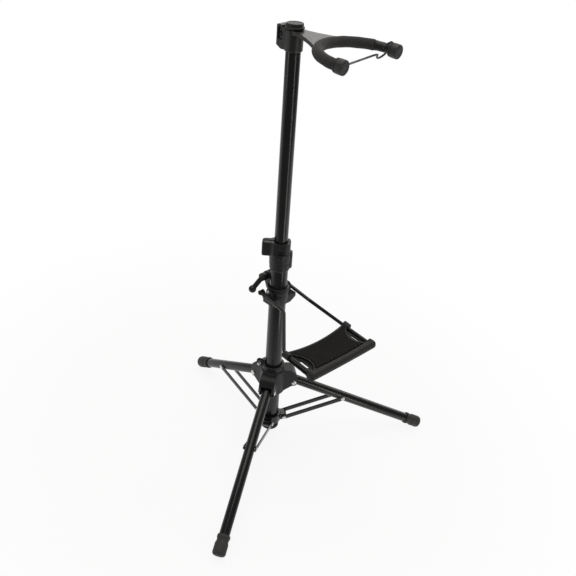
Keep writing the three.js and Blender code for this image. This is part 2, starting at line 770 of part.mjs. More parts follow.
const knobCentre = new THREE.Vector3(-earReach - leverKnobBack, -leverKnobSide, earHeight - leverKnobDrop);
const leverStart = new THREE.Vector3(-earReach, -leverTo + leverArm, earHeight);
const leverBend = new THREE.Vector3(-earReach, -leverTo - leverArm / 2, earHeight - leverArm);
const leverHubBody = crossRod(leverHub, earPoint, -leverTo, -leverFrom, smallSides);
const crank = bentRod([leverStart, leverBend, knobCentre], leverArm, leverArm, smallSides);
const ball = new THREE.SphereGeometry(leverKnob, smallSides, smallSides / 2);
const leverBore = crossRod(screwRadius + fitGap, earPoint, -leverTo + leverArm - fitGap, 0);
place('clamp_lever', cut(
  join(leverHubBody, crank, ball.translate(...knobCentre.toArray())), leverBore,
), mouldedBlack, front);

// Places on the tray: X runs to the front from its back edge, Y along it, Z up from its deck
const trayHalf = trayLength / 2;
const trayBarSide = trayHalf - trayBarInset;
const lipAt = trayDepth - trayLip;
const lipLift = trayLipLift - trayDeck / 2;
const lipRoot = lipAt - trayLipRoot;
const onTray = (shape) => shape.rotateY(trayTilt).translate(trayReach, 0, trayHeight);
const trayPoint = (reach, side, lift) => new THREE.Vector3(
  trayReach + reach * Math.cos(trayTilt) + lift * Math.sin(trayTilt), side,
  trayHeight - reach * Math.sin(trayTilt) + lift * Math.cos(trayTilt));

// Rod frame: from an eye at the clamp, out to the tray, along its end and inside its front lip
const rodWay = [
  new THREE.Vector3(-hingeReach, -rodSide, hingeHeight),
  new THREE.Vector3(rodBendReach, -rodSide, rodBendHeight),
  trayPoint(-rodRadius, -trayBarSide, lipLift),
  trayPoint(lipAt, -trayBarSide, lipLift),
];
const rodLoop = [...rodWay, ...rodWay.toReversed().map((point) => new THREE.Vector3(point.x, -point.y, point.z))];
const eye = (side) => slab(disc(-hingeReach, hingeHeight, rodEye), rodEyeThick, side);
const eyeSpace = (side) => slab(disc(-hingeReach, hingeHeight, rodEye - overrun), rodEyeThick + 2 * rodRadius, side);
const eyeHole = crossRod(rodPin + fitGap, hingePoint, -2 * rodSide, 2 * rodSide);
const loopBody = cut(bentRod(rodLoop, rodRadius, rodBend, wireSides), eyeSpace(-rodSide), eyeSpace(rodSide));
place('rod_frame', cut(join(loopBody, eye(-rodSide), eye(rodSide)), eyeHole), satinBlack, front);

// Tray: one moulded section with a back ridge and a round front lip, sagging to its middle
function sagged(shape) {
  const position = shape.attributes.position;
  for (let i = 0; i < position.count; i += 1) {
    const middle = 1 - (position.getY(i) / trayHalf) ** 2;
    const rear = 1 - position.getX(i) / trayDepth;
    position.setZ(i, position.getZ(i) - traySag * middle * (sagFrontShare + (1 - sagFrontShare) * rear));
    position.setX(i, position.getX(i) + trayWaist * middle * rear);
  }
  return shape;
}

// An outline in the X-Z plane drawn along Y in even steps, so that it can sag
function drawn(outline, length) {
  const settings = { depth: length, steps: sagSteps, bevelEnabled: false, curveSegments: curveSteps };
  return new THREE.ExtrudeGeometry(outline, settings).translate(0, 0, -length / 2).rotateX(Math.PI / 2);
}

const traySection = new THREE.Shape();
traySection.moveTo(0, -trayDeck);
traySection.lineTo(lipAt, -trayDeck);
traySection.absarc(lipAt, lipLift, trayLip, -Math.PI / 2, trayLipEnd, false);
traySection.lineTo(lipRoot, 0);
traySection.lineTo(trayRidgeWide, 0);
traySection.lineTo(trayRidgeWide * (1 - ridgeSlopeShare), trayRidge);
traySection.lineTo(trayRidgeWide * ridgeSlopeShare, trayRidge);
traySection.lineTo(0, trayRidge / 2);
traySection.closePath();

const moonMiddle = trayDepth / 2;
const moonCentre = trayHalf - moonDepth + moonRadius;
const padSection = polygon([
  [trayRidgeWide + padMargin, fitGap], [lipRoot, fitGap], [lipRoot, padThick - padBevel],
  [lipRoot - padBevel, padThick], [trayRidgeWide + padMargin + padBevel, padThick],
  [trayRidgeWide + padMargin, padThick - padBevel],
]);

// What each end of the tray loses and gains, on the side given by its sign
function trayEnd(sign) {
  const centre = [moonMiddle, sign * moonCentre];
  const high = 3 * trayLip;
  const turnToEnd = (shape) => shape.translate(...centre, 0);
  const inner = sign * (trayHalf - trayNotch);
  const outer = sign * 2 * trayHalf;
  const span = [Math.min(inner, outer), Math.max(inner, outer)];
  const slotSide = sign * (trayHalf - slotInset);
  const reach = slotLength / 2 - slotWidth / 2;
  const slotShape = stadium([moonMiddle - reach, slotSide], [moonMiddle + reach, slotSide], slotWidth / 2);
  const corners = [trayTab, trayDepth - trayTab];
  return {
    notch: box(...corners, ...span, -high, high),
    moon: common(turnToEnd(rod(moonRadius, -moonFloor, high)), box(...corners, -trayLength, trayLength, -high, high)),
    slot: prism(slotShape, -high, high),
    rim: common(
      turnToEnd(pipe(moonRadius + moonRim, moonRadius, -trayDeck, moonRimTall)),
      box(trayRidgeWide, lipAt, ...(sign > 0 ? [0, inner] : [inner, 0]), -high, high)),
    padSpace: turnToEnd(rod(moonRadius + moonRim + padMargin, -high, high)),
  };
}

const ends = [trayEnd(-1), trayEnd(1)];
const rodChannel = bentRod(rodLoop, rodRadius + fitGap, rodBend, wireSides);
const trayBody = join(sagged(drawn(traySection, trayLength)), ...ends.map(({ rim }) => sagged(rim)));
const trayCuts = ends.flatMap(({ notch, moon, slot }) => [notch, moon, slot]);
place('support_tray', cut(onTray(cut(trayBody, ...trayCuts)), rodChannel), mouldedBlack, front);
const padLength = 2 * (trayBarSide - rodRadius - padMargin);
const padBody = cut(sagged(drawn(padSection, padLength)), ...ends.map(({ padSpace }) => padSpace));
place('support_pad', onTray(padBody), feltBlack, front);

// Head: a collar on the upper tube with a clamp block behind and a fan-shaped plate in front
const headRadius = upperSeat + headWall;
const topHole = legPinRadius + fitGap;
const headCollar = revolve([
  [upperSeat, headHeight], [headRadius, headHeight], [headRadius, headTop], [topHole, headTop], [topHole, headRoof],
  [upperSeat, headRoof], [upperSeat, headHeight],
]);

// The plate flares to the back of the yoke, where it ends on the rod; a margin makes room round it
function plateOutline(margin) {
  const reach = yokeRadius + yokeRodRadius + fitGap - margin;
  const spread = plateMouth + plateEaseShare * margin / yokeRadius;
  const tip = [yokeReach - reach * Math.cos(spread), reach * Math.sin(spread)];
  const root = plateRoot + margin;
  const outline = new THREE.Shape();
  outline.moveTo(0, -root);
  outline.lineTo(headRadius, -root);
  outline.quadraticCurveTo(tip[0] * plateWaistShare, -plateWaist - margin, tip[0], -tip[1]);
  outline.absarc(yokeReach, 0, reach, Math.PI + spread, Math.PI - spread, true);
  outline.quadraticCurveTo(tip[0] * plateWaistShare, plateWaist + margin, headRadius, root);
  outline.lineTo(0, root);
  outline.closePath();
  return outline;
}

const headPlate = prism(plateOutline(0), plateTop - plateThick, plateTop).rotateY(yokeDrop).translate(0, 0, yokeHeight);
const headBlock = slab(polygon([
  [-upperSeat, headHeight], [-headRadius, headHeight], [-headBlockBack, headBlockLow],
  [-headBlockBack, headBlockTop], [-topFlange - overrun, headBlockTop], [-topFlange - overrun, headTop],
  [-upperSeat, headTop],
]), 2 * headBlockHalf);
const pocket = (from, to) => box(
  headRib - headBlockBack, -headRadius - headRib / 2, from, to, headBlockLow + headRib, headBlockTop - headRib);
const pocketDeep = headBlockHalf - headPocket;
const headScrewPoint = [-(headBlockBack + headRadius) / 2, headScrewHeight];
place('head_arm', cut(
  join(headCollar, headPlate, headBlock),
  pocket(pocketDeep, headBlockHalf + overrun), pocket(-headBlockHalf - overrun, -pocketDeep),
  rod(upperSeat, headHeight - overrun, headRoof), rod(topHole, headHeight, headBlockTop, smallSides),
  box(-2 * headBlockBack, 0, -headSlit / 2, headSlit / 2, headHeight - overrun, headRoof),
  crossRod(rivetRadius + fitGap, headScrewPoint, -headBlockHalf, headBlockHalf),
), mouldedBlack, headFrame);
place('head_screw', rivet(rivetRadius, headScrewHead, rivetDome, 2 * pocketDeep + 2 * fitGap, headScrewPoint),
  brightZinc, headFrame);

const flangeLow = headTop + fitGap;
place('top_knob', revolve([
  [0, flangeLow - topScrewLength], [legPinRadius, flangeLow - topScrewLength], [legPinRadius, flangeLow],
  [topFlange, flangeLow], [topFlange, flangeLow + topFlangeThick], [knobDisc, flangeLow + topFlangeThick],
  [knobDisc, flangeLow + topKnobTall - topKnobEdge], [knobDisc - topKnobEdge, flangeLow + topKnobTall],
  [0, flangeLow + topKnobTall],
]), mouldedBlack, headFrame);

// Yoke: a rod bent to a C, seen from its near tip, with its foam, sleeve and end caps
const yokeLength = 2 * yokeArm + Math.PI * yokeRadius;
const yokeTip = yokeReach + yokeArm;

function yokePoint(distance) {
  const left = yokeLength - distance;
  if (distance < yokeArm) return new THREE.Vector3(yokeTip - distance, -yokeRadius, 0);
  if (left < yokeArm) return new THREE.Vector3(yokeTip - left, yokeRadius, 0);
  const angle = (distance - yokeArm) / yokeRadius;
  return new THREE.Vector3(yokeReach - yokeRadius * Math.sin(angle), -yokeRadius * Math.cos(angle), 0);
}

function yokeDirection(distance) {
  const angle = THREE.MathUtils.clamp((distance - yokeArm) / yokeRadius, 0, Math.PI);
  return new THREE.Vector3(-Math.cos(angle), Math.sin(angle), 0);
}

function yokeBar(radius, from, to, sides) {
  const steps = Math.ceil((to - from) / yokeStep);
  const stops = Array.from({ length: steps + 1 }, (_, i) => from + (to - from) * i / steps);
  return sweep(stops.map(yokePoint), radius, sides, stops.map(yokeDirection));
}

const foamStart = capLength + fitGap;
const wireSleeveEnd = yokeLength - capLength - fitGap;
const wireSleeveStart = wireSleeveEnd - wireSleeveLength;
const foamEnd = wireSleeveStart - fitGap;
const rodSpace = yokeBar(yokeRodRadius + fitGap, 0, yokeLength, smallSides);
const plateSpace = prism(plateOutline(fitGap), plateTop - plateThick - fitGap, plateTop + fitGap);
const rodTip = capFloor + fitGap;
place('yoke_rod', yokeBar(yokeRodRadius, rodTip, yokeLength - rodTip, smallSides), satinBlack, yoke);
place('yoke_foam', cut(yokeBar(foamRadius, foamStart, foamEnd, 2 * wireSides), rodSpace, plateSpace), foamBlack, yoke);
place('wire_sleeve', cut(yokeBar(wireSleeveRadius, wireSleeveStart, wireSleeveEnd, 2 * wireSides), rodSpace),
  rubberBlack, yoke);

const capBore = yokeRodRadius + fitGap;
const endCap = revolve([
  [0, -capFloor], [capBore, -capFloor], [capBore, -capLength], [capNeck, -capLength],
  [capNeck, capNeckLength - capLength], [capRadius, capNeckLength - capLength], [capRadius, -capBevel],
  [capRadius - capBevel, 0], [0, 0],
]).rotateY(Math.PI / 2);
place('yoke_cap_near', endCap.clone().translate(yokeTip, -yokeRadius, 0), rubberBlack, yoke);
place('yoke_cap_far', endCap.clone().translate(yokeTip, yokeRadius, 0), rubberBlack, yoke);

// Safety wire: a ring that hangs on the far arm, drawn on across the mouth to the near cap
const ringReach = yokeTip - wireRingInset;
const ringSide = Math.sqrt(yokeRadius ** 2 - (yokeReach - ringReach) ** 2);
const ringPoint = (angle) => new THREE.Vector3(
  ringReach + wireRingLean * Math.sin(angle), ringSide - wireRing * Math.cos(angle),
  wireRing * Math.sin(angle) - wireRingDrop);
const ringSteps = 3 * bendSteps;
const ringTurn = 2 * Math.PI - 2 * wireJoin;
const ringWay = Array.from({ length: ringSteps + 1 }, (_, i) => ringPoint(-wireJoin - ringTurn * i / ringSteps));
const wireEnd = new THREE.Vector3(
  yokeTip - capNeckLength, capRadius + wireRadius + fitGap - yokeRadius, wireLift);
const wireBend = ringWay[0].clone().lerp(wireEnd, yokeStep / yokeTip).add(new THREE.Vector3(0, 0, wireRadius));
place('safety_wire', sweep([wireEnd, wireBend, ...ringWay], wireRadius, wireSides), brightZinc, yoke);

// Stand the pole over the floor, with the middle of its base as the origin
pole.position.z = -floorOnPole * Math.cos(leanAngle);
stand.updateMatrixWorld(true);
const reachBox = new THREE.Box3().setFromObject(stand, true);
pole.position.x = -(reachBox.min.x + reachBox.max.x) / 2;
pole.position.y = -(reachBox.min.y + reachBox.max.y) / 2;

export default stand;
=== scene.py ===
# Dresses a folding floor stand for a hanging wind instrument: a tripod with a sliding hub, a tube in
# two stages, a cradle on a bent rod frame and a padded yoke with a safety wire. Pieces are drawn in
# millimetres along the pole, then laid into the world, where the pole leans back on its tripod.

import math

import bmesh
import bpy
from mathutils import Matrix, Vector


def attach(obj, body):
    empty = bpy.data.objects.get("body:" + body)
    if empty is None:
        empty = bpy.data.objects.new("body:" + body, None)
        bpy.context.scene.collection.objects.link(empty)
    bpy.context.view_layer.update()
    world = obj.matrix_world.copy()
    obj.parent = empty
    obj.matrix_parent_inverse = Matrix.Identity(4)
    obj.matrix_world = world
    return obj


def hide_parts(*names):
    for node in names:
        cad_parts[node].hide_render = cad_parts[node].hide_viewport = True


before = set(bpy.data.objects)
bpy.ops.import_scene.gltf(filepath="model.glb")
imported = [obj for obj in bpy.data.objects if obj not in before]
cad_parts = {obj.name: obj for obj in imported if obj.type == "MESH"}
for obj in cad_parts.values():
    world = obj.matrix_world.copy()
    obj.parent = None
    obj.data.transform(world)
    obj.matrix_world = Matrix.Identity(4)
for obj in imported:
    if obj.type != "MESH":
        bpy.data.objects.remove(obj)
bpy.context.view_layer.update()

# The studio: a white floor and a white surround that only the camera and reflections see as white,
# broad soft lamps, and a camera where the photograph was taken from. None of it is part of the stand.
scene = bpy.context.scene
scene.view_settings.view_transform = "Standard"

camera = bpy.data.objects.new("camera", bpy.data.cameras.new("camera"))
camera.data.sensor_width = 36.0
camera.data.lens = 46.80
camera.data.clip_start = 0.05
camera_right = Vector((0.734031, -0.664910, 0.138178))
camera_up = Vector((0.315504, 0.514060, 0.797621))
camera_back = Vector((-0.601378, -0.541883, 0.587118))
camera.matrix_world = Matrix.Translation((-0.639617, -0.585802, 0.903888)) @ Matrix(
    (camera_right, camera_up, camera_back)).transposed().to_4x4()
scene.collection.objects.link(camera)
scene.camera = camera


class Link:
    """A node's socket that takes part in sums, so that a mask reads as arithmetic."""

    def __init__(self, nodes, socket):
        self.nodes = nodes
        self.socket = socket

    def beside(self, name):
        """Another output of the same node."""
        return Link(self.nodes, self.socket.node.outputs[name])

    def _maths(self, operation, first, second):
        return self.nodes.node("ShaderNodeMath", {"operation": operation}, {0: first, 1: second})

    def __add__(self, other):
        return self._maths("ADD", self, other)

    def __radd__(self, other):
        return self._maths("ADD", other, self)

    def __sub__(self, other):
        return self._maths("SUBTRACT", self, other)

    def __rsub__(self, other):
        return self._maths("SUBTRACT", other, self)

    def __mul__(self, other):
        return self._maths("MULTIPLY", self, other)

    def __rmul__(self, other):
        return self._maths("MULTIPLY", other, self)

    def __truediv__(self, other):
        return self._maths("DIVIDE", self, other)


class Nodes:
    """A node tree. node() adds a node: its settings first, then the values or links of its sockets."""

    def __init__(self, tree):
        self.tree = tree

    def node(self, kind, settings=None, inputs=None, output=0):
        made = self.tree.nodes.new(kind)
        for key, value in (settings or {}).items():
            if key == "stops":
                for stop, (place, shade) in zip(made.color_ramp.elements, value):
                    stop.position = place
                    stop.color = (shade, shade, shade, 1.0)
            else:
                setattr(made, key, value)
        for key, value in (inputs or {}).items():
            self.plug(made.inputs[key], value)
        return Link(self, made.outputs[output])

    def plug(self, socket, value):
        if isinstance(value, Link):
            self.tree.links.new(value.socket, socket)
        elif isinstance(value, list):
            for one in value:
                self.plug(socket, one)
        else:
            socket.default_value = (*value, 1.0) if socket.type == "RGBA" else value

    def ray(self, name):
        return self.node("ShaderNodeLightPath", output=f"Is {name} Ray")

    def behind(self, place):
        """How far a place lies away from the camera's side, along the floor."""
        away = (0.743, 0.669, 0.0)
        return self.node("ShaderNodeVectorMath", {"operation": "DOT_PRODUCT"}, {0: place, 1: away}, "Value")

    def ramp(self, value, start, end, low, high):
        return self.node("ShaderNodeMapRange", None, {
            "Value": value, "From Min": start, "From Max": end, "To Min": low, "To Max": high})


class Finish(Nodes):
    """A surface finish. dress() sets the sockets of its shader."""

    def __init__(self, name):
        self.material = bpy.data.materials.new(name)
        self.material.use_nodes = True
        super().__init__(self.material.node_tree)
        self.shader = self.tree.nodes["Principled BSDF"]
        self.here = self.node("ShaderNodeTexCoord", output="Object")

    def dress(self, sockets):
        for key, value in sockets.items():
            self.plug(self.shader.inputs[key], value)
        return self

    def mixed(self, mask, dark, light):
        return self.node("ShaderNodeMix", {"data_type": "RGBA"}, {0: mask, 6: dark, 7: light}, 2)

    def speckle(self, scale, detail=2.0, roughness=0.5, where=None):
        inputs = {"Vector": where or self.here, "Scale": scale, "Detail": detail, "Roughness": roughness}
        return self.node("ShaderNodeTexNoise", None, inputs, "Fac")

    def edges(self, low, high):
        """White along sharp edges of the shape and black on its flat places."""
        return self.node("ShaderNodeValToRGB", {"stops": [(low, 0.0), (high, 1.0)]}, {
            "Fac": self.node("ShaderNodeNewGeometry", output="Pointiness")})

    def stretched(self, scale):
        return self.node("ShaderNodeMapping", None, {"Vector": self.here, "Scale": scale})

    def bump(self, height, strength, depth):
        return self.node("ShaderNodeBump", None, {"Height": height, "Strength": strength, "Distance": depth})


floor_half = 1.5
floor_mesh = bpy.data.meshes.new("studio_floor")
floor_corners = ((-1, -1), (1, -1), (1, 1), (-1, 1))
floor_mesh.from_pydata([(x * floor_half, y * floor_half, 0.0) for x, y in floor_corners], [], [(0, 1, 2, 3)])
studio_floor = bpy.data.objects.new("studio_floor", floor_mesh)
scene.collection.objects.link(studio_floor)

floor_finish = Finish("studio_floor_white").dress({
    "Base Color": (0.80, 0.80, 0.80), "Roughness": 1.0, "Specular IOR Level": 0.0})
floor_reach = floor_finish.node("ShaderNodeVectorMath", {"operation": "LENGTH"}, {0: floor_finish.here}, "Value")
near_dark = floor_finish.ramp(floor_finish.behind(floor_finish.here), -0.50, -0.02, 0.84, 0.0)
glow = floor_finish.node("ShaderNodeEmission", None, {
    "Color": (1.0, 1.0, 1.0), "Strength": 1.0 - floor_finish.ray("Glossy") * near_dark})
seen_white = floor_finish.ramp(floor_reach, 0.25, 0.60, 0.88, 1.0)
shown_white = floor_finish.node("ShaderNodeMath", {"operation": "MINIMUM"}, {
    0: floor_finish.ray("Camera") * seen_white + floor_finish.ray("Glossy") + floor_finish.ray("Transmission"),
    1: 1.0})
floor_shader = floor_finish.node("ShaderNodeMixShader", None, {
    0: shown_white, 1: Link(floor_finish, floor_finish.shader.outputs[0]), 2: glow})
floor_finish.plug(floor_finish.tree.nodes["Material Output"].inputs["Surface"], floor_shader)
floor_mesh.materials.append(floor_finish.material)

surround = bpy.data.worlds.new("surround")
scene.world = surround
surround.use_nodes = True
sky = Nodes(surround.node_tree)
sky_gloss = sky.ramp(sky.behind(sky.node("ShaderNodeTexCoord", output="Generated")), -0.1, 0.9, 0.10, 0.60)
sky_mirror = sky.node("ShaderNodeMath", {"operation": "MAXIMUM"}, {
    0: sky.ray("Glossy"), 1: sky.ray("Transmission")})
sky_fill = sky.node("ShaderNodeMix", None, {"Factor": sky_mirror, "A": 0.40, "B": sky_gloss})
sky_all = sky.node("ShaderNodeMix", None, {"Factor": sky.ray("Camera"), "A": sky_fill, "B": 1.0})
sky.plug(sky.tree.nodes["Background"].inputs["Color"], (1.0, 1.0, 1.0))
sky.plug(sky.tree.nodes["Background"].inputs["Strength"], sky_all)


def lamp(name, place, aim, width, height, power):
    light = bpy.data.lights.new(name, "AREA")
    light.shape = "RECTANGLE"
    light.size = width
    light.size_y = height
    light.energy = power
    light.color = (1.0, 0.955, 0.925)
    holder = bpy.data.objects.new(name, light)
    holder.location = place
    holder.rotation_mode = "QUATERNION"
    holder.rotation_quaternion = (Vector(aim) - Vector(place)).to_track_quat("-Z", "Y")
    holder.visible_camera = False
    scene.collection.objects.link(holder)


stand_middle = (0, 0, 0.32)
lamp("overhead_softbox", (0.1, 0.2, 2.1), stand_middle, 1.5, 1.5, 18)
lamp("rear_softbox", (1.35, 1.25, 1.25), stand_middle, 0.9, 0.9, 4.6)
lamp("left_softbox", (-1.7, 0.75, 0.4), (0, 0, 0.15), 0.5, 0.6, 3)
lamp("low_strip", (0.03, -0.86, 0.003), (0.03, -0.86, 1.0), 0.07, 0.80, 1.5)
lamp("side_strip", (0.04, -1.28, 0.42), (0.0, 0.0, 0.42), 0.08, 0.84, 2.1)
lamp("right_rim", (1.6, 0.1, 0.9), stand_middle, 0.20, 1.5, 4)

# Tubes of the pole: two drawn steel tubes in satin black paint, the upper one sliding in the lower.
# Each is turned here as a lathe shape with rounded lips. A plastic bush hides inside the lower one.
millimetre = 0.001
lean = math.radians(6.58)
pole = Matrix.Translation((0.0, -0.0233005, -0.0158946)) @ Matrix.Rotation(-lean, 4, "X")
lower_radius, lower_bore, lower_low, lower_high = 12.5, 11.0, 26.9, 349.9
upper_radius, upper_bore, upper_low, upper_high = 9.5, 8.3, 290.7, 640.7


def bend(start, corner, finish, steps):
    """Points of a curve that sets out from start to a corner and comes from there to finish."""
    shares = [step / steps for step in range(steps + 1)]
    return [start * (1 - t) ** 2 + corner * 2 * t * (1 - t) + finish * t * t for t in shares]


def eased(corners, radius, ends=True, steps=4):
    """The outline with its corners rounded. With ends kept, the first and last point stay."""
    count = len(corners)
    done = []
    for i, corner in enumerate(corners):
        here = Vector(corner)
        if ends and i in (0, count - 1):
            done.append(tuple(here))
            continue
        before = Vector(corners[i - 1]) - here
        after = Vector(corners[(i + 1) % count]) - here
        cut = min(radius, 0.45 * before.length, 0.45 * after.length)
        rounded = bend(here + before.normalized() * cut, here, here + after.normalized() * cut, steps)
        done += [tuple(point) for point in rounded]
    return done


def walled(made, rows):
    """Faces between neighbouring rows of points. A row of one point is a tip."""
    for low, high in zip(rows, rows[1:]):
        sides = max(len(low), len(high))
        for i in range(sides):
            j = (i + 1) % sides
            corners = (low[i % len(low)], low[j % len(low)], high[j % len(high)], high[i % len(high)])
            face = list(dict.fromkeys(corners))
            if len(face) > 2:
                made.faces.new(face)


def turned(profile, ring=False, sides=72):
    """A lathe shape about Z from [radius, height] points. A ring profile closes on itself."""
    made = bmesh.new()
    rows = []
    for radius, height in profile:
        if radius < 1e-6:
            rows.append([made.verts.new((0.0, 0.0, height))])
            continue
        turns = [2 * math.pi * i / sides for i in range(sides)]
        rows.append([made.verts.new((radius * math.cos(a), radius * math.sin(a), height)) for a in turns])
    walled(made, rows + rows[:1] if ring else rows)
    bmesh.ops.recalc_face_normals(made, faces=made.faces)
    return made


def pipe(inner, outer, low, high, ease=None):
    """A straight ring about the pole, with its lips eased where a radius is given."""
    wall = [(inner, low), (outer, low), (outer, high), (inner, high)]
    return turned(eased(wall, ease, ends=False) if ease else wall, ring=True)


def as_mesh(shape):
    """A drawn shape as a mesh. A mesh stays as it is."""
    if isinstance(shape, bpy.types.Mesh):
        return shape
    mesh = bpy.data.meshes.new("shape")
    shape.to_mesh(mesh)
    shape.free()
    return mesh


def settle(shape, name, where, finish, body, nodes, sharp=38.0):
    """Lays a shape drawn in millimetres into the world, on its body, in place of its CAD nodes."""
    mesh = as_mesh(shape)
    mesh.transform(where @ Matrix.Scale(millimetre, 4))
    mesh.materials.clear()
    mesh.materials.append(finish.material)
    mesh.name = name
    for face in mesh.polygons:
        face.use_smooth = True
    mesh.set_sharp_from_angle(angle=math.radians(sharp))
    piece = bpy.data.objects.new(name, mesh)
    scene.collection.objects.link(piece)
    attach(piece, body)
    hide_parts(*nodes)
    return piece


def painted_steel(name, rub_scale):
    """Satin black paint: orange peel, faint rubbing along the metal, and thin patches on edges."""
    paint = Finish(name)
    rubbed = paint.speckle(rub_scale, 6.0, 0.62)
    streaked = paint.speckle(240.0, 3.0, 0.5, paint.stretched((1.0, 1.0, 0.06)))
    peel = paint.speckle(1500.0, 1.0, 0.4)
    worn = paint.edges(0.55, 0.66) * rubbed
    tone = paint.mixed(rubbed, (0.0058, 0.0057, 0.0058), (0.0118, 0.0114, 0.0110))
    return paint.dress({
        "Base Color": paint.mixed(worn * 0.5, tone, (0.075, 0.073, 0.070)),
        "Roughness": 0.19 + rubbed * 0.07 + streaked * 0.04,
        "Specular IOR Level": 0.38,
        "Coat Weight": 0.06,
        "Coat Roughness": 0.20,
        "Normal": paint.bump(peel * 0.8 + streaked * 0.2, 0.08, 0.00010),
    })


satin_black = painted_steel("satin_black_paint", 38.0)
settle(pipe(lower_bore, lower_radius, lower_low, lower_high, 0.45), "lower_tube_painted", pole, satin_black,
       "base", ["lower_tube"])
settle(pipe(upper_bore, upper_radius, upper_low, upper_high, 0.4), "upper_tube_painted", pole, satin_black,
       "mast", ["upper_tube"])

# End plug: a moulded rubber cap pressed over the bottom of the lower tube, with a grip groove turned
# round it and a flat floor.
plug_low, plug_high, plug_outer, plug_floor = 25.9, 32.0, 13.7, 2.0
sliding_fit = 12.8


def moulded_rubber(name, mottle_scale, dark, light, roughness):
    """Dull rubber with a bloom, a fine pitted skin and lighter rubbed patches."""
    rubber = Finish(name)
    bloom = rubber.speckle(mottle_scale, 5.0, 0.6)
    skin = rubber.speckle(1900.0, 2.0, 0.6)
    rubbed = tuple(2.2 * shade for shade in light)
    return rubber.dress({
        "Base Color": rubber.mixed(rubber.edges(0.52, 0.64) * bloom, rubber.mixed(bloom, dark, light), rubbed),
        "Roughness": roughness + bloom * 0.16,
        "Specular IOR Level": 0.34,
        "Normal": rubber.bump(skin * 0.7 + bloom * 0.3, 0.22, 0.00025),
    })


foot_rubber = moulded_rubber("foot_rubber", 70.0, (0.025, 0.0245, 0.0245), (0.046, 0.045, 0.0445), 0.50)
plug_wall = [
    (0.0, plug_low), (plug_outer - 1.2, plug_low), (plug_outer, plug_low + 1.4), (plug_outer, plug_low + 3.2),
    (plug_outer - 0.5, plug_low + 3.5), (plug_outer - 0.5, plug_low + 4.4), (plug_outer, plug_low + 4.7),
    (plug_outer, plug_high), (sliding_fit, plug_high), (sliding_fit, plug_low + plug_floor),
    (0.0, plug_low + plug_floor),
]
settle(turned(eased(plug_wall, 0.35)), "tube_end_plug_rubber", pole, foot_rubber,
       "base", ["tube_end_plug"])

# Bottom bracket: a pressed steel collar fixed low on the lower tube, with three rounded lugs that the
# stay bars are riveted to. It is drawn as one shape, and a fine remesh gives it its soft weld fillets.
leg_turns = {"left": math.radians(-147.05), "right": math.radians(-32.95), "rear": math.radians(90.0)}
bracket_pivot = (21.07, 46.0)
bracket_low, bracket_high, bracket_outer = 39.0, 53.0, 16.4
lug_half_width, lug_radius = 7.5, 5.2
overrun = 2.0


def drawn(outline, low, high, axis="Z"):
    """A closed outline carried straight along an axis: (x, y) along Z, (x, z) along Y, (y, z) along X."""
    lift = {"X": lambda a, b, d: (d, a, b), "Y": lambda a, b, d: (a, d, b), "Z": lambda a, b, d: (a, b, d)}[axis]
    made = bmesh.new()
    bottom = [made.verts.new(lift(a, b, low)) for a, b in outline]
    top = [made.verts.new(lift(a, b, high)) for a, b in outline]
    made.faces.new(bottom)
    made.faces.new(top[::-1])
    walled(made, [bottom, top])
    bmesh.ops.recalc_face_normals(made, faces=made.faces)
    return made


def arc(centre, radius, start, end, steps=24):
    turns = [start + (end - start) * i / steps for i in range(steps + 1)]
    return [(centre[0] + radius * math.cos(a), centre[1] + radius * math.sin(a)) for a in turns]


def round_bar(start, end, radius):
    turn = math.atan2(end[1] - start[1], end[0] - start[0])
    return (arc(start, radius, turn + math.pi / 2, turn + 3 * math.pi / 2, 16)
            + arc(end, radius, turn - math.pi / 2, turn + math.pi / 2, 16))


def bore(radius, low, high):
    """The room of a round rod about the pole."""
    return turned([(0, low), (radius, low), (radius, high), (0, high)])


def spun(made, turn):
    bmesh.ops.rotate(made, verts=made.verts, cent=(0, 0, 0), matrix=Matrix.Rotation(turn, 3, "Z"))
    return made


def held(shape):
    thing = bpy.data.objects.new("working", as_mesh(shape))
    scene.collection.objects.link(thing)
    return thing


def baked(thing):
    """The object's mesh with its modifiers worked in. The object itself goes."""
    mesh = bpy.data.meshes.new_from_object(thing.evaluated_get(bpy.context.evaluated_depsgraph_get()))
    bpy.data.objects.remove(thing)
    return mesh


def moulded(solids, hollows, grain, ease=3, keep=0.35):
    """One casting: solids run together, hollows taken out, then remeshed finely and every edge eased.

    With no grain it stays as it is drawn, for bar and sheet that have no cast skin.
    """
    whole = held(solids[0])
    tools = []
    for operation, others in (("UNION", solids[1:]), ("DIFFERENCE", hollows)):
        for other in others:
            tools.append(held(other))
            step = whole.modifiers.new("step", "BOOLEAN")
            step.operation, step.solver, step.object = operation, "MANIFOLD", tools[-1]
    if grain:
        skin = whole.modifiers.new("skin", "REMESH")
        skin.mode, skin.voxel_size = "VOXEL", grain
        whole.modifiers.new("ease", "SMOOTH").iterations = ease
        whole.modifiers.new("light", "DECIMATE").ratio = keep
    mesh = baked(whole)
    for tool in tools:
        bpy.data.objects.remove(tool)
    return mesh


bracket_lugs = [spun(drawn(round_bar((lower_radius, bracket_pivot[1]), bracket_pivot, lug_radius),
                           -lug_half_width, lug_half_width, "Y"), turn) for turn in leg_turns.values()]
bracket_bore = bore(sliding_fit, bracket_low - overrun, bracket_high + overrun)
settle(moulded([pipe(12.6, bracket_outer, bracket_low, bracket_high), *bracket_lugs], [bracket_bore], 0.42),
       "bottom_bracket_steel", pole, satin_black, "base", ["bottom_bracket"], sharp=60.0)

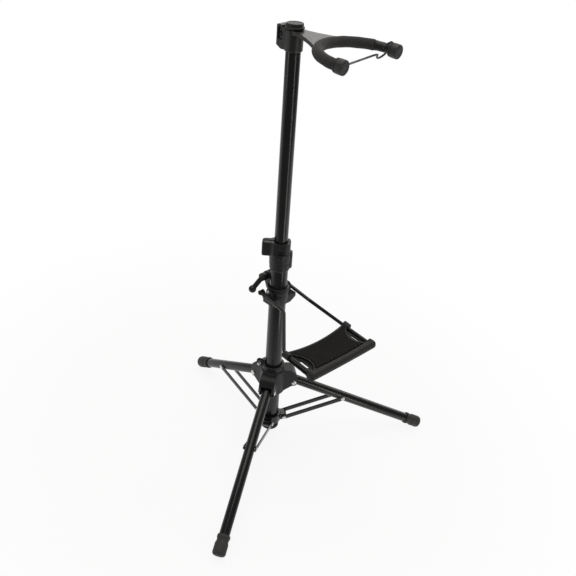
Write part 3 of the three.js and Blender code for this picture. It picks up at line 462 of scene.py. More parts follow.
# Hub: a moulded plastic sleeve that slides on the lower tube. Three rounded housings, open below,
# hold the leg ends on rivets, and a split ear at the back takes a bright clamping screw.
hub_low, hub_high, hub_shoulder, hub_outer, hub_neck = 101.0, 151.0, 143.0, 19.4, 17.2
leg_pivot, leg_drop, leg_radius = (32.0, 118.1), math.radians(26.37), 7.5
housing_width, drum_centre, drum_radius, mouth_radius = 24.0, (21.6, 125.4), 15.9, 6.8
heel_room, leg_gap = 11.57, 0.3
ear_turn, ear_screw, ear_radius, ear_half_width, ear_slit = math.radians(135.2), (21.5, 150.5), 4.6, 4.5, 0.8
above_ear = 158.0


def moulded_plastic(name, dark, light, roughness, grain_scale=1100.0):
    """Injection-moulded black plastic: spark-eroded grain, slow sheen changes, and greyed corners."""
    plastic = Finish(name)
    sheen = plastic.speckle(24.0, 4.0, 0.55)
    grain = plastic.speckle(grain_scale, 3.0, 0.65)
    greyed = plastic.edges(0.515, 0.60) * sheen
    grey = tuple(2.4 * shade for shade in light)
    return plastic.dress({
        "Base Color": plastic.mixed(greyed, plastic.mixed(sheen, dark, light), grey),
        "Roughness": roughness + sheen * 0.14 - greyed * 0.10,
        "Specular IOR Level": 0.38,
        "Normal": plastic.bump(grain, 0.16, 0.00018),
    })


hub_plastic = moulded_plastic("hub_plastic", (0.0074, 0.0072, 0.0073), (0.0130, 0.0126, 0.0126), 0.38)


def on_leg(distance, lift=0.0):
    return (leg_pivot[0] + distance * math.cos(leg_drop) + lift * math.sin(leg_drop),
            leg_pivot[1] - distance * math.sin(leg_drop) + lift * math.cos(leg_drop))


def circle(centre, radius, steps=40):
    return arc(centre, radius, 0.0, 2 * math.pi, steps)[:-1]


def across(centre, radius, low, high):
    """A round bar, or the room for one, across the pole."""
    return drawn(circle(centre, radius), low, high, "Y")


def hub_housing(turn):
    outline = [(13.0, hub_low + 0.3), (13.0, 138.5)]
    outline += arc(drum_centre, drum_radius, math.radians(112), math.radians(-42), 32)
    outline += arc(leg_pivot, mouth_radius, math.radians(-40), math.radians(-110), 10)
    return spun(drawn(outline, -housing_width / 2, housing_width / 2, "Y"), turn)


def hub_room(turn):
    """The space that a leg end swings in, with its rounded heel and the open underside."""
    lift = leg_radius + leg_gap
    heel = leg_pivot[0] - heel_room
    outer = on_leg(leg_pivot[0], lift)
    under = hub_low - overrun
    corners = [(heel, leg_pivot[1]), on_leg(0, lift), outer, (outer[0], under), (heel, under)]
    return [spun(drawn(corners, -lift, lift, "Y"), turn), spun(across(leg_pivot, heel_room, -lift, lift), turn)]


hub_sleeve = eased([
    (12.6, hub_low), (hub_outer, hub_low), (hub_outer, hub_shoulder - 1.6), (hub_outer - 1.2, hub_shoulder),
    (hub_neck, hub_shoulder), (hub_neck, hub_high), (12.6, hub_high)], 0.5, ends=False)
hub_ear = drawn(round_bar((lower_radius, 146.4), ear_screw, ear_radius), -ear_half_width, ear_half_width, "Y")
hub_slit = drawn([(14.0, 143.5), (31.0, 143.5), (31.0, above_ear), (14.0, above_ear)], -ear_slit, ear_slit, "Y")
hub_solids = [turned(hub_sleeve, ring=True), spun(hub_ear, ear_turn)]
hub_hollows = [bore(sliding_fit, hub_low - overrun, above_ear), spun(hub_slit, ear_turn)]
for leg_turn in leg_turns.values():
    hub_solids.append(hub_housing(leg_turn))
    hub_hollows += hub_room(leg_turn)
settle(moulded(hub_solids, hub_hollows, 0.55, ease=14), "hub_moulding", pole, hub_plastic, "hub_slider", ["hub"],
       sharp=60.0)

# Legs and their feet: three 15 mm steel tubes in satin black, the rear one shorter, each with a rubber
# cap. A cap has a neck with a bead, a fuller barrel and a worn flat where it stands on the floor.
leg_ends = {"left": 249.12, "right": 249.12, "rear": 168.18}
leg_bore, leg_back, foot_floor = 6.3, -8.0, 3.8
foot_long, foot_inner, foot_bead, foot_waist, foot_outer = 28.0, 7.8, 9.3, 8.4, 9.5


def cut_flat(piece, height):
    """Cuts a finished piece level with the floor and closes the cut."""
    made = bmesh.new()
    made.from_mesh(piece.data)
    geometry = made.verts[:] + made.edges[:] + made.faces[:]
    cut = bmesh.ops.bisect_plane(made, geom=geometry, dist=1e-7, plane_co=(0, 0, height), plane_no=(0, 0, -1),
                                 clear_outer=True)
    rim = [item for item in cut["geom_cut"] if isinstance(item, bmesh.types.BMEdge)]
    bmesh.ops.holes_fill(made, edges=rim, sides=0)
    made.to_mesh(piece.data)
    made.free()


def moved(x, y, z):
    """A shift in millimetres."""
    return Matrix.Translation(Vector((x, y, z)) * millimetre)


def about_pole(turn):
    return pole @ Matrix.Rotation(turn, 4, "Z")


for side, leg_turn in leg_turns.items():
    reach = leg_ends[side]
    top = reach - foot_long
    along_leg = about_pole(leg_turn) @ moved(leg_pivot[0], 0.0, leg_pivot[1]) @ Matrix.Rotation(
        math.pi / 2 + leg_drop, 4, "Y")
    settle(pipe(leg_bore, leg_radius, leg_back, reach - foot_floor, 0.4), f"leg_{side}_painted", along_leg,
           satin_black, f"leg_{side}", [f"leg_{side}"])
    foot_outside = [
        (foot_inner, top), (8.9, top), (foot_bead, top + 1.2), (foot_bead, top + 4.6), (foot_waist, top + 5.8),
        (foot_waist, top + 9.4), (foot_outer, top + 12.0), (foot_outer, reach - 3.4), (8.8, reach - 1.2),
        (7.0, reach)]
    foot_inside = [(0.0, reach), (0.0, reach - 3.5), (foot_inner, reach - 3.5)]
    foot = settle(turned(eased(foot_outside, 0.5) + foot_inside, ring=True), f"foot_{side}_rubber", along_leg,
                  foot_rubber, f"leg_{side}", [f"foot_{side}"])
    cut_flat(foot, 0.0)

# Stay bars: pairs of flat steel strips with round ends, one on each side of a leg, blanked and
# tumbled so that their edges are soft, then painted. They run from the bottom bracket to the leg.
stay_point = on_leg(92.8)
stay_inner, stay_outer, stay_half_width = 7.8, 9.3, 3.8
stay_paint = painted_steel("stay_bar_paint", 90.0)


def softened(made, width, steps=2, angle=40.0):
    """Rounds the hard edges of a drawn or turned shape."""
    hard = [edge for edge in made.edges if len(edge.link_faces) == 2
            and edge.calc_face_angle() > math.radians(angle)]
    bmesh.ops.bevel(made, geom=hard, offset=width, segments=steps, profile=0.5, affect="EDGES", clamp_overlap=True)
    return made


def aside(sign, near, far):
    """The span from near to far on one side of the pole, lower end first."""
    return sorted((sign * near, sign * far))


for side, leg_turn in leg_turns.items():
    for hand, sign in (("a", -1), ("b", 1)):
        strip = round_bar(bracket_pivot, stay_point, stay_half_width)
        bar = drawn(strip, *aside(sign, stay_inner, stay_outer), "Y")
        settle(softened(bar, 0.4), f"stay_{side}_{hand}_strip", about_pole(leg_turn), stay_paint, f"stays_{side}",
               [f"stay_{side}_{hand}"])

# Rivets and screws: zinc-plated steel, headed over on the outside of what they join. One node tree
# sets a head on every seat given to it, turned to face outwards; a few small heads are painted black.
front, head_way = -math.pi / 2, math.radians(-81.9)
cheek_point, hinge_point, pin_point, head_screw_point = (1.0, 285.6), (-10.0, 281.5), (0.0, 340.9), (-16.75, 640.0)
rivet_seats = [
    ("bracket_rivet_heads", "base", [f"bracket_rivet_{side}" for side in leg_turns], 3.3,
     leg_turns.values(), bracket_pivot, (-9.6, 9.6)),
    ("leg_pin_heads", "hub_slider", [f"leg_pin_{side}" for side in leg_turns], 3.9,
     leg_turns.values(), leg_pivot, (-12.3, 12.3)),
    ("hub_screw_heads", "hub_slider", ["hub_screw"], 3.3, [ear_turn], ear_screw, (-4.8, 4.8)),
    ("head_screw_heads", "head", ["head_screw"], 2.8, [head_way], head_screw_point, (-4.9, 4.9)),
    ("wing_rivet_heads", "carriage", ["wing_rivet_left", "wing_rivet_right"], 3.3,
     [front], cheek_point, (-20.3, 20.3)),
    ("frame_pin_heads", "carriage", ["frame_pin_left", "frame_pin_right"], 2.5,
     [front], hinge_point, (-27.3, 27.3)),
    ("clamp_rivet_head", "base", ["clamp_rivet"], 2.9, [ear_turn], pin_point, (15.8,)),
]
rivet_seats += [
    (f"stay_{side}_rivet_heads", f"stays_{side}", [f"stay_rivet_{side}_a", f"stay_rivet_{side}_b"], 3.3,
     [leg_turn], stay_point, (-9.6, 9.6)) for side, leg_turn in leg_turns.items()]
black_heads = ("frame_pin_heads", "clamp_rivet_head", "head_screw_heads")


def zinc_plate(name):
    """Bright zinc over steel: fine brushing and faint blue-grey clouding."""
    zinc = Finish(name)
    cloud = zinc.speckle(420.0, 4.0, 0.6)
    return zinc.dress({
        "Base Color": zinc.mixed(cloud, (0.52, 0.52, 0.53), (0.80, 0.79, 0.76)),
        "Metallic": 1.0,
        "Roughness": 0.20 + cloud * 0.18,
        "Normal": zinc.bump(zinc.speckle(2600.0, 2.0, 0.5), 0.12, 0.0001),
    })


bright_zinc = zinc_plate("zinc_plate")


class Growth(Nodes):
    """A geometry tree with named inputs. It ends in plain geometry with a finish on it."""

    def __init__(self, name, inputs):
        tree = bpy.data.node_groups.new(name, "GeometryNodeTree")
        super().__init__(tree)
        for way in ("OUTPUT", "INPUT"):
            tree.interface.new_socket("Geometry", in_out=way, socket_type="NodeSocketGeometry")
        self.keys = {}
        for key, kind in {**inputs, "Finish": "Material"}.items():
            socket = tree.interface.new_socket(key, in_out="INPUT", socket_type=f"NodeSocket{kind}")
            self.keys[key] = socket.identifier
        self.given = {socket.name: Link(self, socket) for socket in tree.nodes.new("NodeGroupInput").outputs}

    def ends_in(self, geometry):
        plain = self.node("GeometryNodeRealizeInstances", None, {0: geometry})
        done = self.node("GeometryNodeSetMaterial", None, {"Geometry": plain, "Material": self.given["Finish"]})
        self.plug(self.tree.nodes.new("NodeGroupOutput").inputs[0], done)

    def grown(self, thing, finish, values):
        """Runs the tree on an object with its inputs set, and gives back the plain mesh."""
        step = thing.modifiers.new("grow", "NODES")
        step.node_group = self.tree
        for key, value in {**values, "Finish": finish.material}.items():
            step[self.keys[key]] = value
        return baked(thing)


heads = Growth("heads_on_seats", {"Head": "Object", "Head Size": "Float"})
outward = heads.node("GeometryNodeInputNamedAttribute", {"data_type": "FLOAT_VECTOR"}, {"Name": "outward"})
heads.ends_in(heads.node("GeometryNodeInstanceOnPoints", None, {
    "Points": heads.given["Geometry"],
    "Instance": heads.node("GeometryNodeObjectInfo", None, {"Object": heads.given["Head"]}, "Geometry"),
    "Rotation": heads.node("FunctionNodeAlignRotationToVector", {"axis": "Z"}, {"Vector": outward}),
    "Scale": heads.given["Head Size"],
}))


def block(x, y, z):
    return drawn([(x[0], y[0]), (x[1], y[0]), (x[1], y[1]), (x[0], y[1])], *z)


rivet_dome = [(0.0, -0.25), (0.56, -0.25), (0.56, 0.0), (1.0, 0.0), (0.97, 0.10), (0.80, 0.26), (0.50, 0.37),
              (0.24, 0.385), (0.14, 0.33), (0.0, 0.32)]
screw_dome = [(0.0, -0.25), (0.5, -0.25), (0.5, 0.0), (1.0, 0.0), (0.98, 0.12), (0.78, 0.30), (0.42, 0.40),
              (0.0, 0.42)]
slot_long, slot_wide, slot_deep = (-0.5, 0.5), (-0.09, 0.09), (0.2, 0.6)
cross = [block(slot_long, slot_wide, slot_deep), block(slot_wide, slot_long, slot_deep)]
rivet_head = held(turned(eased(rivet_dome, 0.05), sides=40))
screw_head = held(moulded([turned(screw_dome, sides=40)], cross, None))
for name, body, nodes, size, turns, (out, up), sides in rivet_seats:
    points, ways = [], []
    for turn in turns:
        spin = Matrix.Rotation(turn, 3, "Z")
        points += [spin @ Vector((out, y, up)) for y in sides]
        ways += [spin @ Vector((0.0, math.copysign(1.0, y), 0.0)) for y in sides]
    seats = bpy.data.meshes.new("seats")
    seats.from_pydata(points, [], [])
    facing = seats.attributes.new("outward", "FLOAT_VECTOR", "POINT")
    for i, way in enumerate(ways):
        facing.data[i].vector = way
    black = name in black_heads
    finish = satin_black if black else bright_zinc
    mesh = heads.grown(held(seats), finish, {
        "Head": screw_head if "screw" in name else rivet_head, "Head Size": size})
    settle(mesh, f"{name}_painted" if black else f"{name}_zinc", pole, finish, body, nodes)
for spare in (rivet_head, screw_head):
    bpy.data.objects.remove(spare)

# Height clamp: a moulded collar pinned on top of the lower tube. Its split block grips the upper tube,
# a lug at the back carries the screw, and the sleeve below has a step, ribs and a stiffening boss.
block_low, block_high, block_reach, block_half = 343.9, 361.9, 14.0, 12.5
sleeve_low, sleeve_outer, sleeve_upper = 317.9, 14.8, 15.5
lug_reach, lug_half = 26.4, 7.8
clamp_turn = about_pole(ear_turn)
knob_middle = (19.5, 349.1)
clamp_plastic = moulded_plastic("clamp_plastic", (0.0088, 0.0086, 0.0088), (0.0155, 0.0150, 0.0150), 0.36)

block_outline = eased([
    (25.5, -lug_half), (25.5, lug_half), (13.6, lug_half), (9.5, block_half), (-block_reach, block_half),
    (-block_reach, -block_half), (9.5, -block_half), (13.6, -lug_half)], 10.0, ends=False, steps=8)
lug_outline = eased([(lug_reach, -lug_half), (lug_reach, lug_half), (12.5, lug_half), (12.5, -lug_half)],
                    3.0, ends=False)
clamp_sleeve = [
    (12.5, sleeve_low), (13.8, sleeve_low), (sleeve_outer, sleeve_low + 3.0), (sleeve_outer, sleeve_low + 13.6),
    (sleeve_upper, sleeve_low + 15.6), (sleeve_upper, block_low + 1.0), (12.5, block_low + 1.0)]
boss_outline = [(-17.3, -5.0), (-17.3, 5.0), (-11.0, 7.0), (-11.0, -7.0)]
clamp_solids = [
    softened(drawn(block_outline, block_low, block_high), 1.1, 3, 60.0),
    softened(drawn(lug_outline, block_low - 3.6, block_high - 0.4), 2.6, 5, 60.0),
    turned(clamp_sleeve, ring=True),
    softened(drawn(boss_outline, sleeve_low + 3.5, block_low + 3.0), 2.4, 4),
]
clamp_solids += [pipe(12.5, 15.3, sleeve_low + rise, sleeve_low + rise + 1.1) for rise in (9.6, 12.2)]
clamp_hollows = [
    bore(sliding_fit, sleeve_low - 1, 350.2),
    bore(9.8, sleeve_low, block_high + 1),
    block((0.0, 51.0), (-0.9, 0.9), (block_low + 1.8, block_high + 1)),
    across(knob_middle, 2.8, -15.6, 15.6),
    across(pin_point, 2.3, 9.5, 25.0),
]
settle(moulded(clamp_solids, clamp_hollows, 0.42, ease=6), "height_clamp_moulding", clamp_turn, clamp_plastic,
       "base", ["height_clamp"], sharp=60.0)

# Height knob: a small moulded knob with grip flutes, on a steel screw that pulls the split together.
# It sits behind the lug of the height clamp and has a shallow dish in its face.
knob_radius, flute_depth, flutes = 6.5, 0.9, 10


def fluted(centre, radius, depth, count, steps=160):
    turns = [2 * math.pi * i / steps for i in range(steps)]
    reach = [radius - depth * max(0.0, math.cos(count * a)) ** 2 for a in turns]
    return [(centre[0] + r * math.cos(a), centre[1] + r * math.sin(a)) for r, a in zip(reach, turns)]


knob_body = softened(drawn(fluted(knob_middle, knob_radius, flute_depth, flutes), -16.7, -8.7, "Y"), 0.7, 3, 60.0)
knob_stem, knob_dish = across(knob_middle, 2.5, -9.0, 7.8), across(knob_middle, 3.4, -17.5, -16.2)
settle(moulded([knob_body, knob_stem], [knob_dish], 0.28, ease=2), "height_knob_moulding", clamp_turn,
       clamp_plastic, "grip_knob", ["height_knob"], sharp=60.0)

# Support clamp: a split ring on the lower tube. Two wings under it carry upright cheeks with rivets,
# lugs behind take the pins of the rod frame, and two high ears close on a cross screw.
front_turn = about_pole(front)
ring_low, ring_high, above_ears = 276.0, 290.0, 313.0
wing_high, wing_low, wing_half, wing_foot, wing_wall = 275.6, 262.5, 24.0, 13.5, 2.6
ear_point = (-20.0, 299.0)
support_plastic = moulded_plastic("support_plastic", (0.0095, 0.0093, 0.0095), (0.0165, 0.0160, 0.0160), 0.38)


def wing_outline(wall):
    half, high, foot = wing_half - wall, wing_high - wall, wing_foot - wall / 2
    return [(-half, high), (-half, wing_high - 6.6), (-foot, wing_low), (foot, wing_low), (half, wing_high - 6.6),
            (half, high)]


def as_solid(mesh):
    """A baked mesh as a shape that can go into another casting."""
    made = bmesh.new()
    made.from_mesh(mesh)
    bmesh.ops.remove_doubles(made, verts=made.verts, dist=1e-5)
    bmesh.ops.recalc_face_normals(made, faces=made.faces)
    return made


wing_shell = moulded([drawn(wing_outline(0.0), -5.0, 13.0, "X")],
                     [drawn(wing_outline(wing_wall), -6.0, 10.4, "X")], None)
support_core = [(12.5, wing_low), (14.2, wing_low), (15.5, ring_low), (15.5, ring_low + 5.6),
                (16.1, ring_low + 6.4), (16.1, ring_high - 0.8), (15.4, ring_high), (12.5, ring_high)]
support_solids = [as_solid(wing_shell), turned(support_core, ring=True),
                  block((-4.0, 6.0), (-18.4, 18.4), (wing_high - wing_wall, ring_high - 5.0))]
for sign in (-1, 1):
    cheek = round_bar((cheek_point[0], wing_high - wing_wall), cheek_point, 5.0)
    hinge_lug = round_bar((-2.5, wing_high - 5.0), hinge_point, 3.8)
    support_solids += [drawn(cheek, *aside(sign, 16.8, 20.0), "Y"),
                       drawn(hinge_lug, *aside(sign, 18.7, 21.7), "Y")]
support_solids.append(drawn(round_bar((-12.5, ring_high - 6.8), ear_point, 6.8), -6.5, 6.5, "Y"))
support_hollows = [
    bore(sliding_fit, wing_low - 1, above_ears),
    block((-40.0, 0.0), (-1.2, 1.2), (wing_low - 1, above_ears)),
    across(hinge_point, 1.9, -24.0, 24.0),
    across(ear_point, 2.8, -24.0, 24.0),
]
settle(moulded(support_solids, support_hollows, 0.45, ease=5), "support_clamp_moulding", front_turn,
       support_plastic, "carriage", ["support_clamp"], sharp=60.0)

# Clamp screw and lever: a blackened steel screw with a washer and nut through the ears, and a moulded
# cranked lever with a ball end that tightens them.
screw_end = -14.8
screw_body = [(0.0, screw_end), (2.5, screw_end), (2.5, -8.3), (5.4, -8.3), (5.4, -6.8), (2.5, -6.8), (2.5, 6.8),
              (3.3, 6.8), (3.3, 8.6), (2.6, 9.4), (0.0, 9.4)]
across_ears = moved(ear_point[0], 0.0, ear_point[1]) @ Matrix.Rotation(-math.pi / 2, 4, "X")
settle(turned(eased(screw_body, 0.35)), "clamp_screw_black", front_turn @ across_ears, satin_black,
       "carriage", ["clamp_screw"])


def bent_path(corners, radius, steps=10):
    """Points along straight runs, with each inner corner turned on a radius."""
    way = [Vector(corners[0])]
    for before, here, after in zip(corners, corners[1:], corners[2:]):
        here = Vector(here)
        back, ahead = (Vector(before) - here).normalized(), (Vector(after) - here).normalized()
        reach = radius / math.tan(back.angle(ahead) / 2)
        way += bend(here + back * reach, here, here + ahead * reach, steps)
    way.append(Vector(corners[-1]))
    return way


bars = Growth("bar_on_path", {"Radius": "Float", "Sides": "Int"})
bar_section = bars.node("GeometryNodeCurvePrimitiveCircle", None, {
    "Radius": bars.given["Radius"], "Resolution": bars.given["Sides"]})
bars.ends_in(bars.node("GeometryNodeCurveToMesh", None, {
    "Curve": bars.given["Geometry"], "Profile Curve": bar_section, "Fill Caps": True}))


def bar_along(points, radius, finish, sides=28):
    """A round bar along a row of points, grown by the tree above and given back as a plain mesh."""
    path = bpy.data.curves.new("path", "CURVE")
    path.dimensions = "3D"
    line = path.splines.new("POLY")
    line.points.add(len(points) - 1)
    for spot, point in zip(line.points, points):
        spot.co = (*point, 1.0)
    holder = bpy.data.objects.new("path", path)
    scene.collection.objects.link(holder)
    return bars.grown(holder, finish, {"Radius": radius, "Sides": sides})


lever_outer, lever_inner, lever_hub, lever_arm, lever_ball = -16.0, -8.6, 5.9, 3.7, 5.6
ball_point = (-23.0, -29.0, 283.0)
crank_way = bent_path([(-20.0, -13.0, 299.0), (-20.0, -17.5, 296.0), ball_point], 3.0)
ball = bmesh.new()
bmesh.ops.create_uvsphere(ball, u_segments=32, v_segments=16, radius=lever_ball,
                          matrix=Matrix.Translation(ball_point))
lever_solids = [softened(across(ear_point, lever_hub, lever_outer, lever_inner), 0.8, 3, 60.0),
                as_solid(bar_along(crank_way, lever_arm, clamp_plastic)), ball]
settle(moulded(lever_solids, [across(ear_point, 2.8, -13.4, 0.0)], 0.32, ease=4), "clamp_lever_moulding",
       front_turn, clamp_plastic, "lever", ["clamp_lever"], sharp=70.0)

# Rod frame: one length of 5 mm steel rod, bent round and painted. Small eyes at its ends turn on
# pins at the clamp, and its far bend runs inside the ends and the front lip of the tray.
rod_radius, rod_side, rod_paint_skin, rod_bend, eye_radius = 2.5, 24.5, 0.1, 11.0, 3.6
tray_reach, tray_height, tray_tilt = 81.0, 243.0, math.radians(4.0)
tray_deep, tray_long = 60.0, 123.0
lip_at, lip_lift = tray_deep - 5.2, -1.6
tray_bar_side = tray_long / 2 - 4.6


def on_tray(reach, side, lift):
    return (tray_reach + reach * math.cos(tray_tilt) + lift * math.sin(tray_tilt), side,
            tray_height - reach * math.sin(tray_tilt) + lift * math.cos(tray_tilt))


rod_half = [(hinge_point[0], -rod_side, hinge_point[1]), (40.0, -rod_side, 275.5),
            on_tray(-rod_radius, -tray_bar_side, lip_lift), on_tray(lip_at, -tray_bar_side, lip_lift)]
rod_corners = rod_half + [(x, -y, z) for x, y, z in reversed(rod_half)]
rod_parts = [as_solid(bar_along(bent_path(rod_corners, rod_bend, 16), rod_radius + rod_paint_skin, satin_black))]
for sign in (-1, 1):
    eye_span = aside(sign, rod_side - rod_radius, rod_side + rod_radius)
    rod_parts.append(softened(across(hinge_point, eye_radius, *eye_span), 0.7, 3, 60.0))
rod_paint = painted_steel("rod_frame_paint", 60.0)
settle(moulded(rod_parts, [across(hinge_point, 1.9, -49.0, 49.0)], None), "rod_frame_painted", front_turn,
       rod_paint, "cradle", ["rod_frame"], sharp=60.0)

# Tray: a moulded cradle that sags a little in the middle. Its front edge rolls over the rod, a low rim
# runs round a crescent hollow at each end, and there is a slot inside each crescent.
tray_turn = front_turn @ moved(tray_reach, 0.0, tray_height) @ Matrix.Rotation(tray_tilt, 4, "Y")
tray_plastic = moulded_plastic("tray_plastic", (0.0115, 0.0112, 0.0110), (0.0185, 0.0180, 0.0176), 0.56)
tray_half, tray_deck = tray_long / 2, 5.6
tab_radius, roll_at, roll_lift, roll_radius, roll_past = 5.7, 54.4, -3.0, 6.6, 2.2
moon_at, moon_side, moon_radius, moon_rim, moon_limit = 30.0, 67.0, 25.0, 2.2, 54.1
sag_forward, sag_down, sag_at_front = 4.2, 5.6, 0.13
slot_half, slot_side, near_slot, far_slot = 5.9, 50.4, 2.4, 1.6
rear_tab, front_tab, rim_room = (-0.4, 10.5), (49.5, 58.5), 9.0
pocket_starts, pocket_wide, pocket_half, pocket_deep = (13.0, 24.5, 36.0), 9.0, 44.0, 1.6


def sagged(mesh):
    """Lets a flat piece of the tray follow its sag, deepest in the middle of the rear edge."""
    for vertex in mesh.vertices:
        middle = max(0.0, 1 - (vertex.co.y / tray_half) ** 2)
        rear = 1 - vertex.co.x / tray_deep
        vertex.co.x += sag_forward * middle * rear
        vertex.co.z -= sag_down * middle * (sag_at_front + (1 - sag_at_front) * rear)
    return mesh


def thinned(mesh, keep):
    """The mesh with its flat places in fewer faces."""
    thing = held(mesh)
    thing.modifiers.new("light", "DECIMATE").ratio = keep
    return baked(thing)


def end_arc(radius, side, steps=36):
    """The part of a crescent's circle that lies on the tray, inside the end rods."""
    open_turn = math.acos((moon_side - moon_limit) / radius)
    turns = [-side * math.pi / 2 - open_turn + 2 * open_turn * i / steps for i in range(steps + 1)]
    return [(moon_at + radius * math.cos(a), side * moon_side + radius * math.sin(a)) for a in turns]


tray_profile = [(0.0, -tray_deck), (roll_at - 9.0, -tray_deck), (roll_at, roll_lift - roll_radius)]
tray_profile += arc((roll_at, roll_lift), roll_radius, -math.pi / 2, math.radians(144), 30)
tray_profile += [(48.6, 0.0), (3.8, 0.0), (3.2, 1.7), (0.0, 1.7)]
roll = across((roll_at, roll_lift), roll_radius - 0.05, -tray_half - roll_past, tray_half + roll_past)
tray_solids = [drawn(tray_profile, -tray_half, tray_half, "Y"), softened(roll, 3.0, 5, 60.0)]
tray_hollows = []
for sign in (-1, 1):
    tray_solids.append(drawn(end_arc(moon_radius + moon_rim, sign) + end_arc(moon_radius, sign)[::-1], -2.0, 2.0))
    tray_hollows.append(drawn(end_arc(moon_radius, sign), -2.4, rim_room))
    tray_hollows.append(block((rear_tab[1], front_tab[0]), aside(sign, moon_limit, 62.5), (-4.4, rim_room)))
    slot = round_bar((moon_at - slot_half, sign * slot_side), (moon_at + slot_half, sign * slot_side),
                     near_slot if sign < 0 else far_slot)
    tray_hollows.append(drawn(slot, -rim_room, rim_room))
    for tab in (rear_tab, front_tab):
        tray_solids.append(drawn(circle((sign * (tray_bar_side + 1.2), lip_lift + 0.4), tab_radius), *tab, "X"))
tray_hollows.append(block((13.0, 47.0), (-57.0, -45.0), (-rim_room, -4.1)))
for start in pocket_starts:
    tray_hollows.append(block((start, start + pocket_wide), (-pocket_half, pocket_half),
                              (-tray_deck - overrun, -tray_deck + pocket_deep)))
tray_mesh = thinned(sagged(moulded(tray_solids, tray_hollows, 0.5, keep=1.0)), 0.35)
settle(tray_mesh, "support_tray_moulding", tray_turn, tray_plastic, "cradle", ["support_tray"],
       sharp=60.0)

# Tray pad: a die-cut sheet of black felt glued to the deck, with concave ends that follow the crescent
# rims. It is crowned, soft at its cut edge and covered in loose fibres, each a bent hair on the cloth.
felt_rear, felt_front, felt_half, felt_low, felt_high, felt_cut = 4.2, 48.6, 53.6, 0.3, 2.2, 28.0
felt_crown, felt_ripple, felt_edge = 0.5, 0.10, 6.0


def felt_cloth(name):
    """Pressed felt: fibres matted every way, coloured with the bump over a slow random tone: painted light on the
    raised fibres and painted shade in the hollows between.
    """
    felt = Finish(name)
    mat = felt.speckle(900.0, 8.0, 0.75)
    swirl = felt.speckle(5200.0, 3.0, 0.6, felt.stretched((1.0, 0.35, 1.0)))
    # Painted light and shade: the colour is lighter where the fibre bump is raised and darker in its hollows, over
    # a slow random tone.
    nap_with_painted_shade = mat * swirl * 1.5 + felt.speckle(55.0, 3.0, 0.5) * 0.4
    return felt.dress({
        "Base Color": felt.mixed(nap_with_painted_shade, (0.0045, 0.0043, 0.0043), (0.0150, 0.0144, 0.0140)),
        "Roughness": 0.96,
        "Specular IOR Level": 0.12,
        "Sheen Weight": 0.03,
        "Sheen Roughness": 0.6,
        "Normal": felt.bump(mat * 0.6 + swirl * 0.4, 0.7, 0.0005),
    })


tray_felt = felt_cloth("tray_felt")


def felt_sheet():
    outline = [(felt_rear, -felt_half), (felt_front, -felt_half), (felt_front, felt_half), (felt_rear, felt_half)]
    moons = [drawn(circle((moon_at, sign * moon_side), felt_cut, 96), -3.0, 6.0) for sign in (-1, 1)]
    mesh = moulded([drawn(outline, felt_low, felt_high)], moons, 0.4, ease=4, keep=0.3)
    for vertex in mesh.vertices:
        x, y, z = vertex.co
        inside = min(x - felt_rear, felt_front - x, felt_half - abs(y)) / felt_edge
        ripple = felt_ripple * math.sin(0.31 * y + 0.9) * math.sin(0.22 * x)
        lift = (z - felt_low) / (felt_high - felt_low)
        vertex.co.z += lift * (felt_crown * min(1.0, max(0.0, inside)) ** 0.5 + ripple)
    return mesh


fibres = Growth("fibres_on_cloth", {"Amount": "Int", "Fibre Length": "Float", "Fibre Radius": "Float"})
cloth, fibre_length = fibres.given["Geometry"], fibres.given["Fibre Length"]
hair = fibres.node("GeometryNodeCurveQuadraticBezier", None, {
    "Resolution": 3, "Start": (-0.5, 0.0, -0.02), "Middle": (0.0, 0.35, 0.16), "End": (0.5, 0.0, 0.03)})
hair_section = fibres.node("GeometryNodeCurvePrimitiveCircle", None, {
    "Resolution": 3, "Radius": fibres.given["Fibre Radius"] / fibre_length})
cloth_area = fibres.node("GeometryNodeAttributeStatistic", {"domain": "FACE"}, {
    "Geometry": cloth, "Attribute": fibres.node("GeometryNodeInputMeshFaceArea")}, "Sum")
roots = fibres.node("GeometryNodeDistributePointsOnFaces", None, {
    "Mesh": cloth, "Density": fibres.given["Amount"] / cloth_area, "Seed": 0}, "Points")
any_turn = fibres.node("FunctionNodeRandomValue", {"data_type": "FLOAT"}, {"Max": 6.2832, "Seed": 0}, "Value")
hair_turn = fibres.node("FunctionNodeRotateRotation", {"rotation_space": "LOCAL"}, {
    "Rotation": roots.beside("Rotation"), "Rotate By": fibres.node("ShaderNodeCombineXYZ", None, {"Z": any_turn})})
hair_size = fibres.node("FunctionNodeRandomValue", {"data_type": "FLOAT"}, {
    "Min": fibre_length * 0.5, "Max": fibre_length, "Seed": 0}, "Value")
hairs = fibres.node("GeometryNodeInstanceOnPoints", None, {
    "Points": roots,
    "Instance": fibres.node("GeometryNodeCurveToMesh", None, {"Curve": hair, "Profile Curve": hair_section}),
    "Rotation": hair_turn,
    "Scale": hair_size,
})
fibres.ends_in(fibres.node("GeometryNodeJoinGeometry", None, {0: [hairs, cloth]}))

felt_mesh = fibres.grown(held(felt_sheet()), tray_felt, {
    "Amount": 3200, "Fibre Length": 2.2, "Fibre Radius": 0.035})
settle(sagged(felt_mesh), "support_pad_felt", tray_turn, tray_felt, "cradle", ["support_pad"],
                 sharp=80.0)

# Head arm: a die-cast head clamped round the top of the upper tube. Behind the collar is a split block
# with pockets and a cross screw, in front a fan-shaped plate reaches out under the yoke.
head_turn = about_pole(head_way)
yoke_level, yoke_tilt, yoke_reach = 644.4, math.radians(4.6), 104.0
head_low, head_high, head_outer, head_top = 622.0, 647.8, 11.5, 651.0
plate_root, plate_tip, plate_low, plate_high = 10.5, (56.8, 35.6), -1.2, 3.4


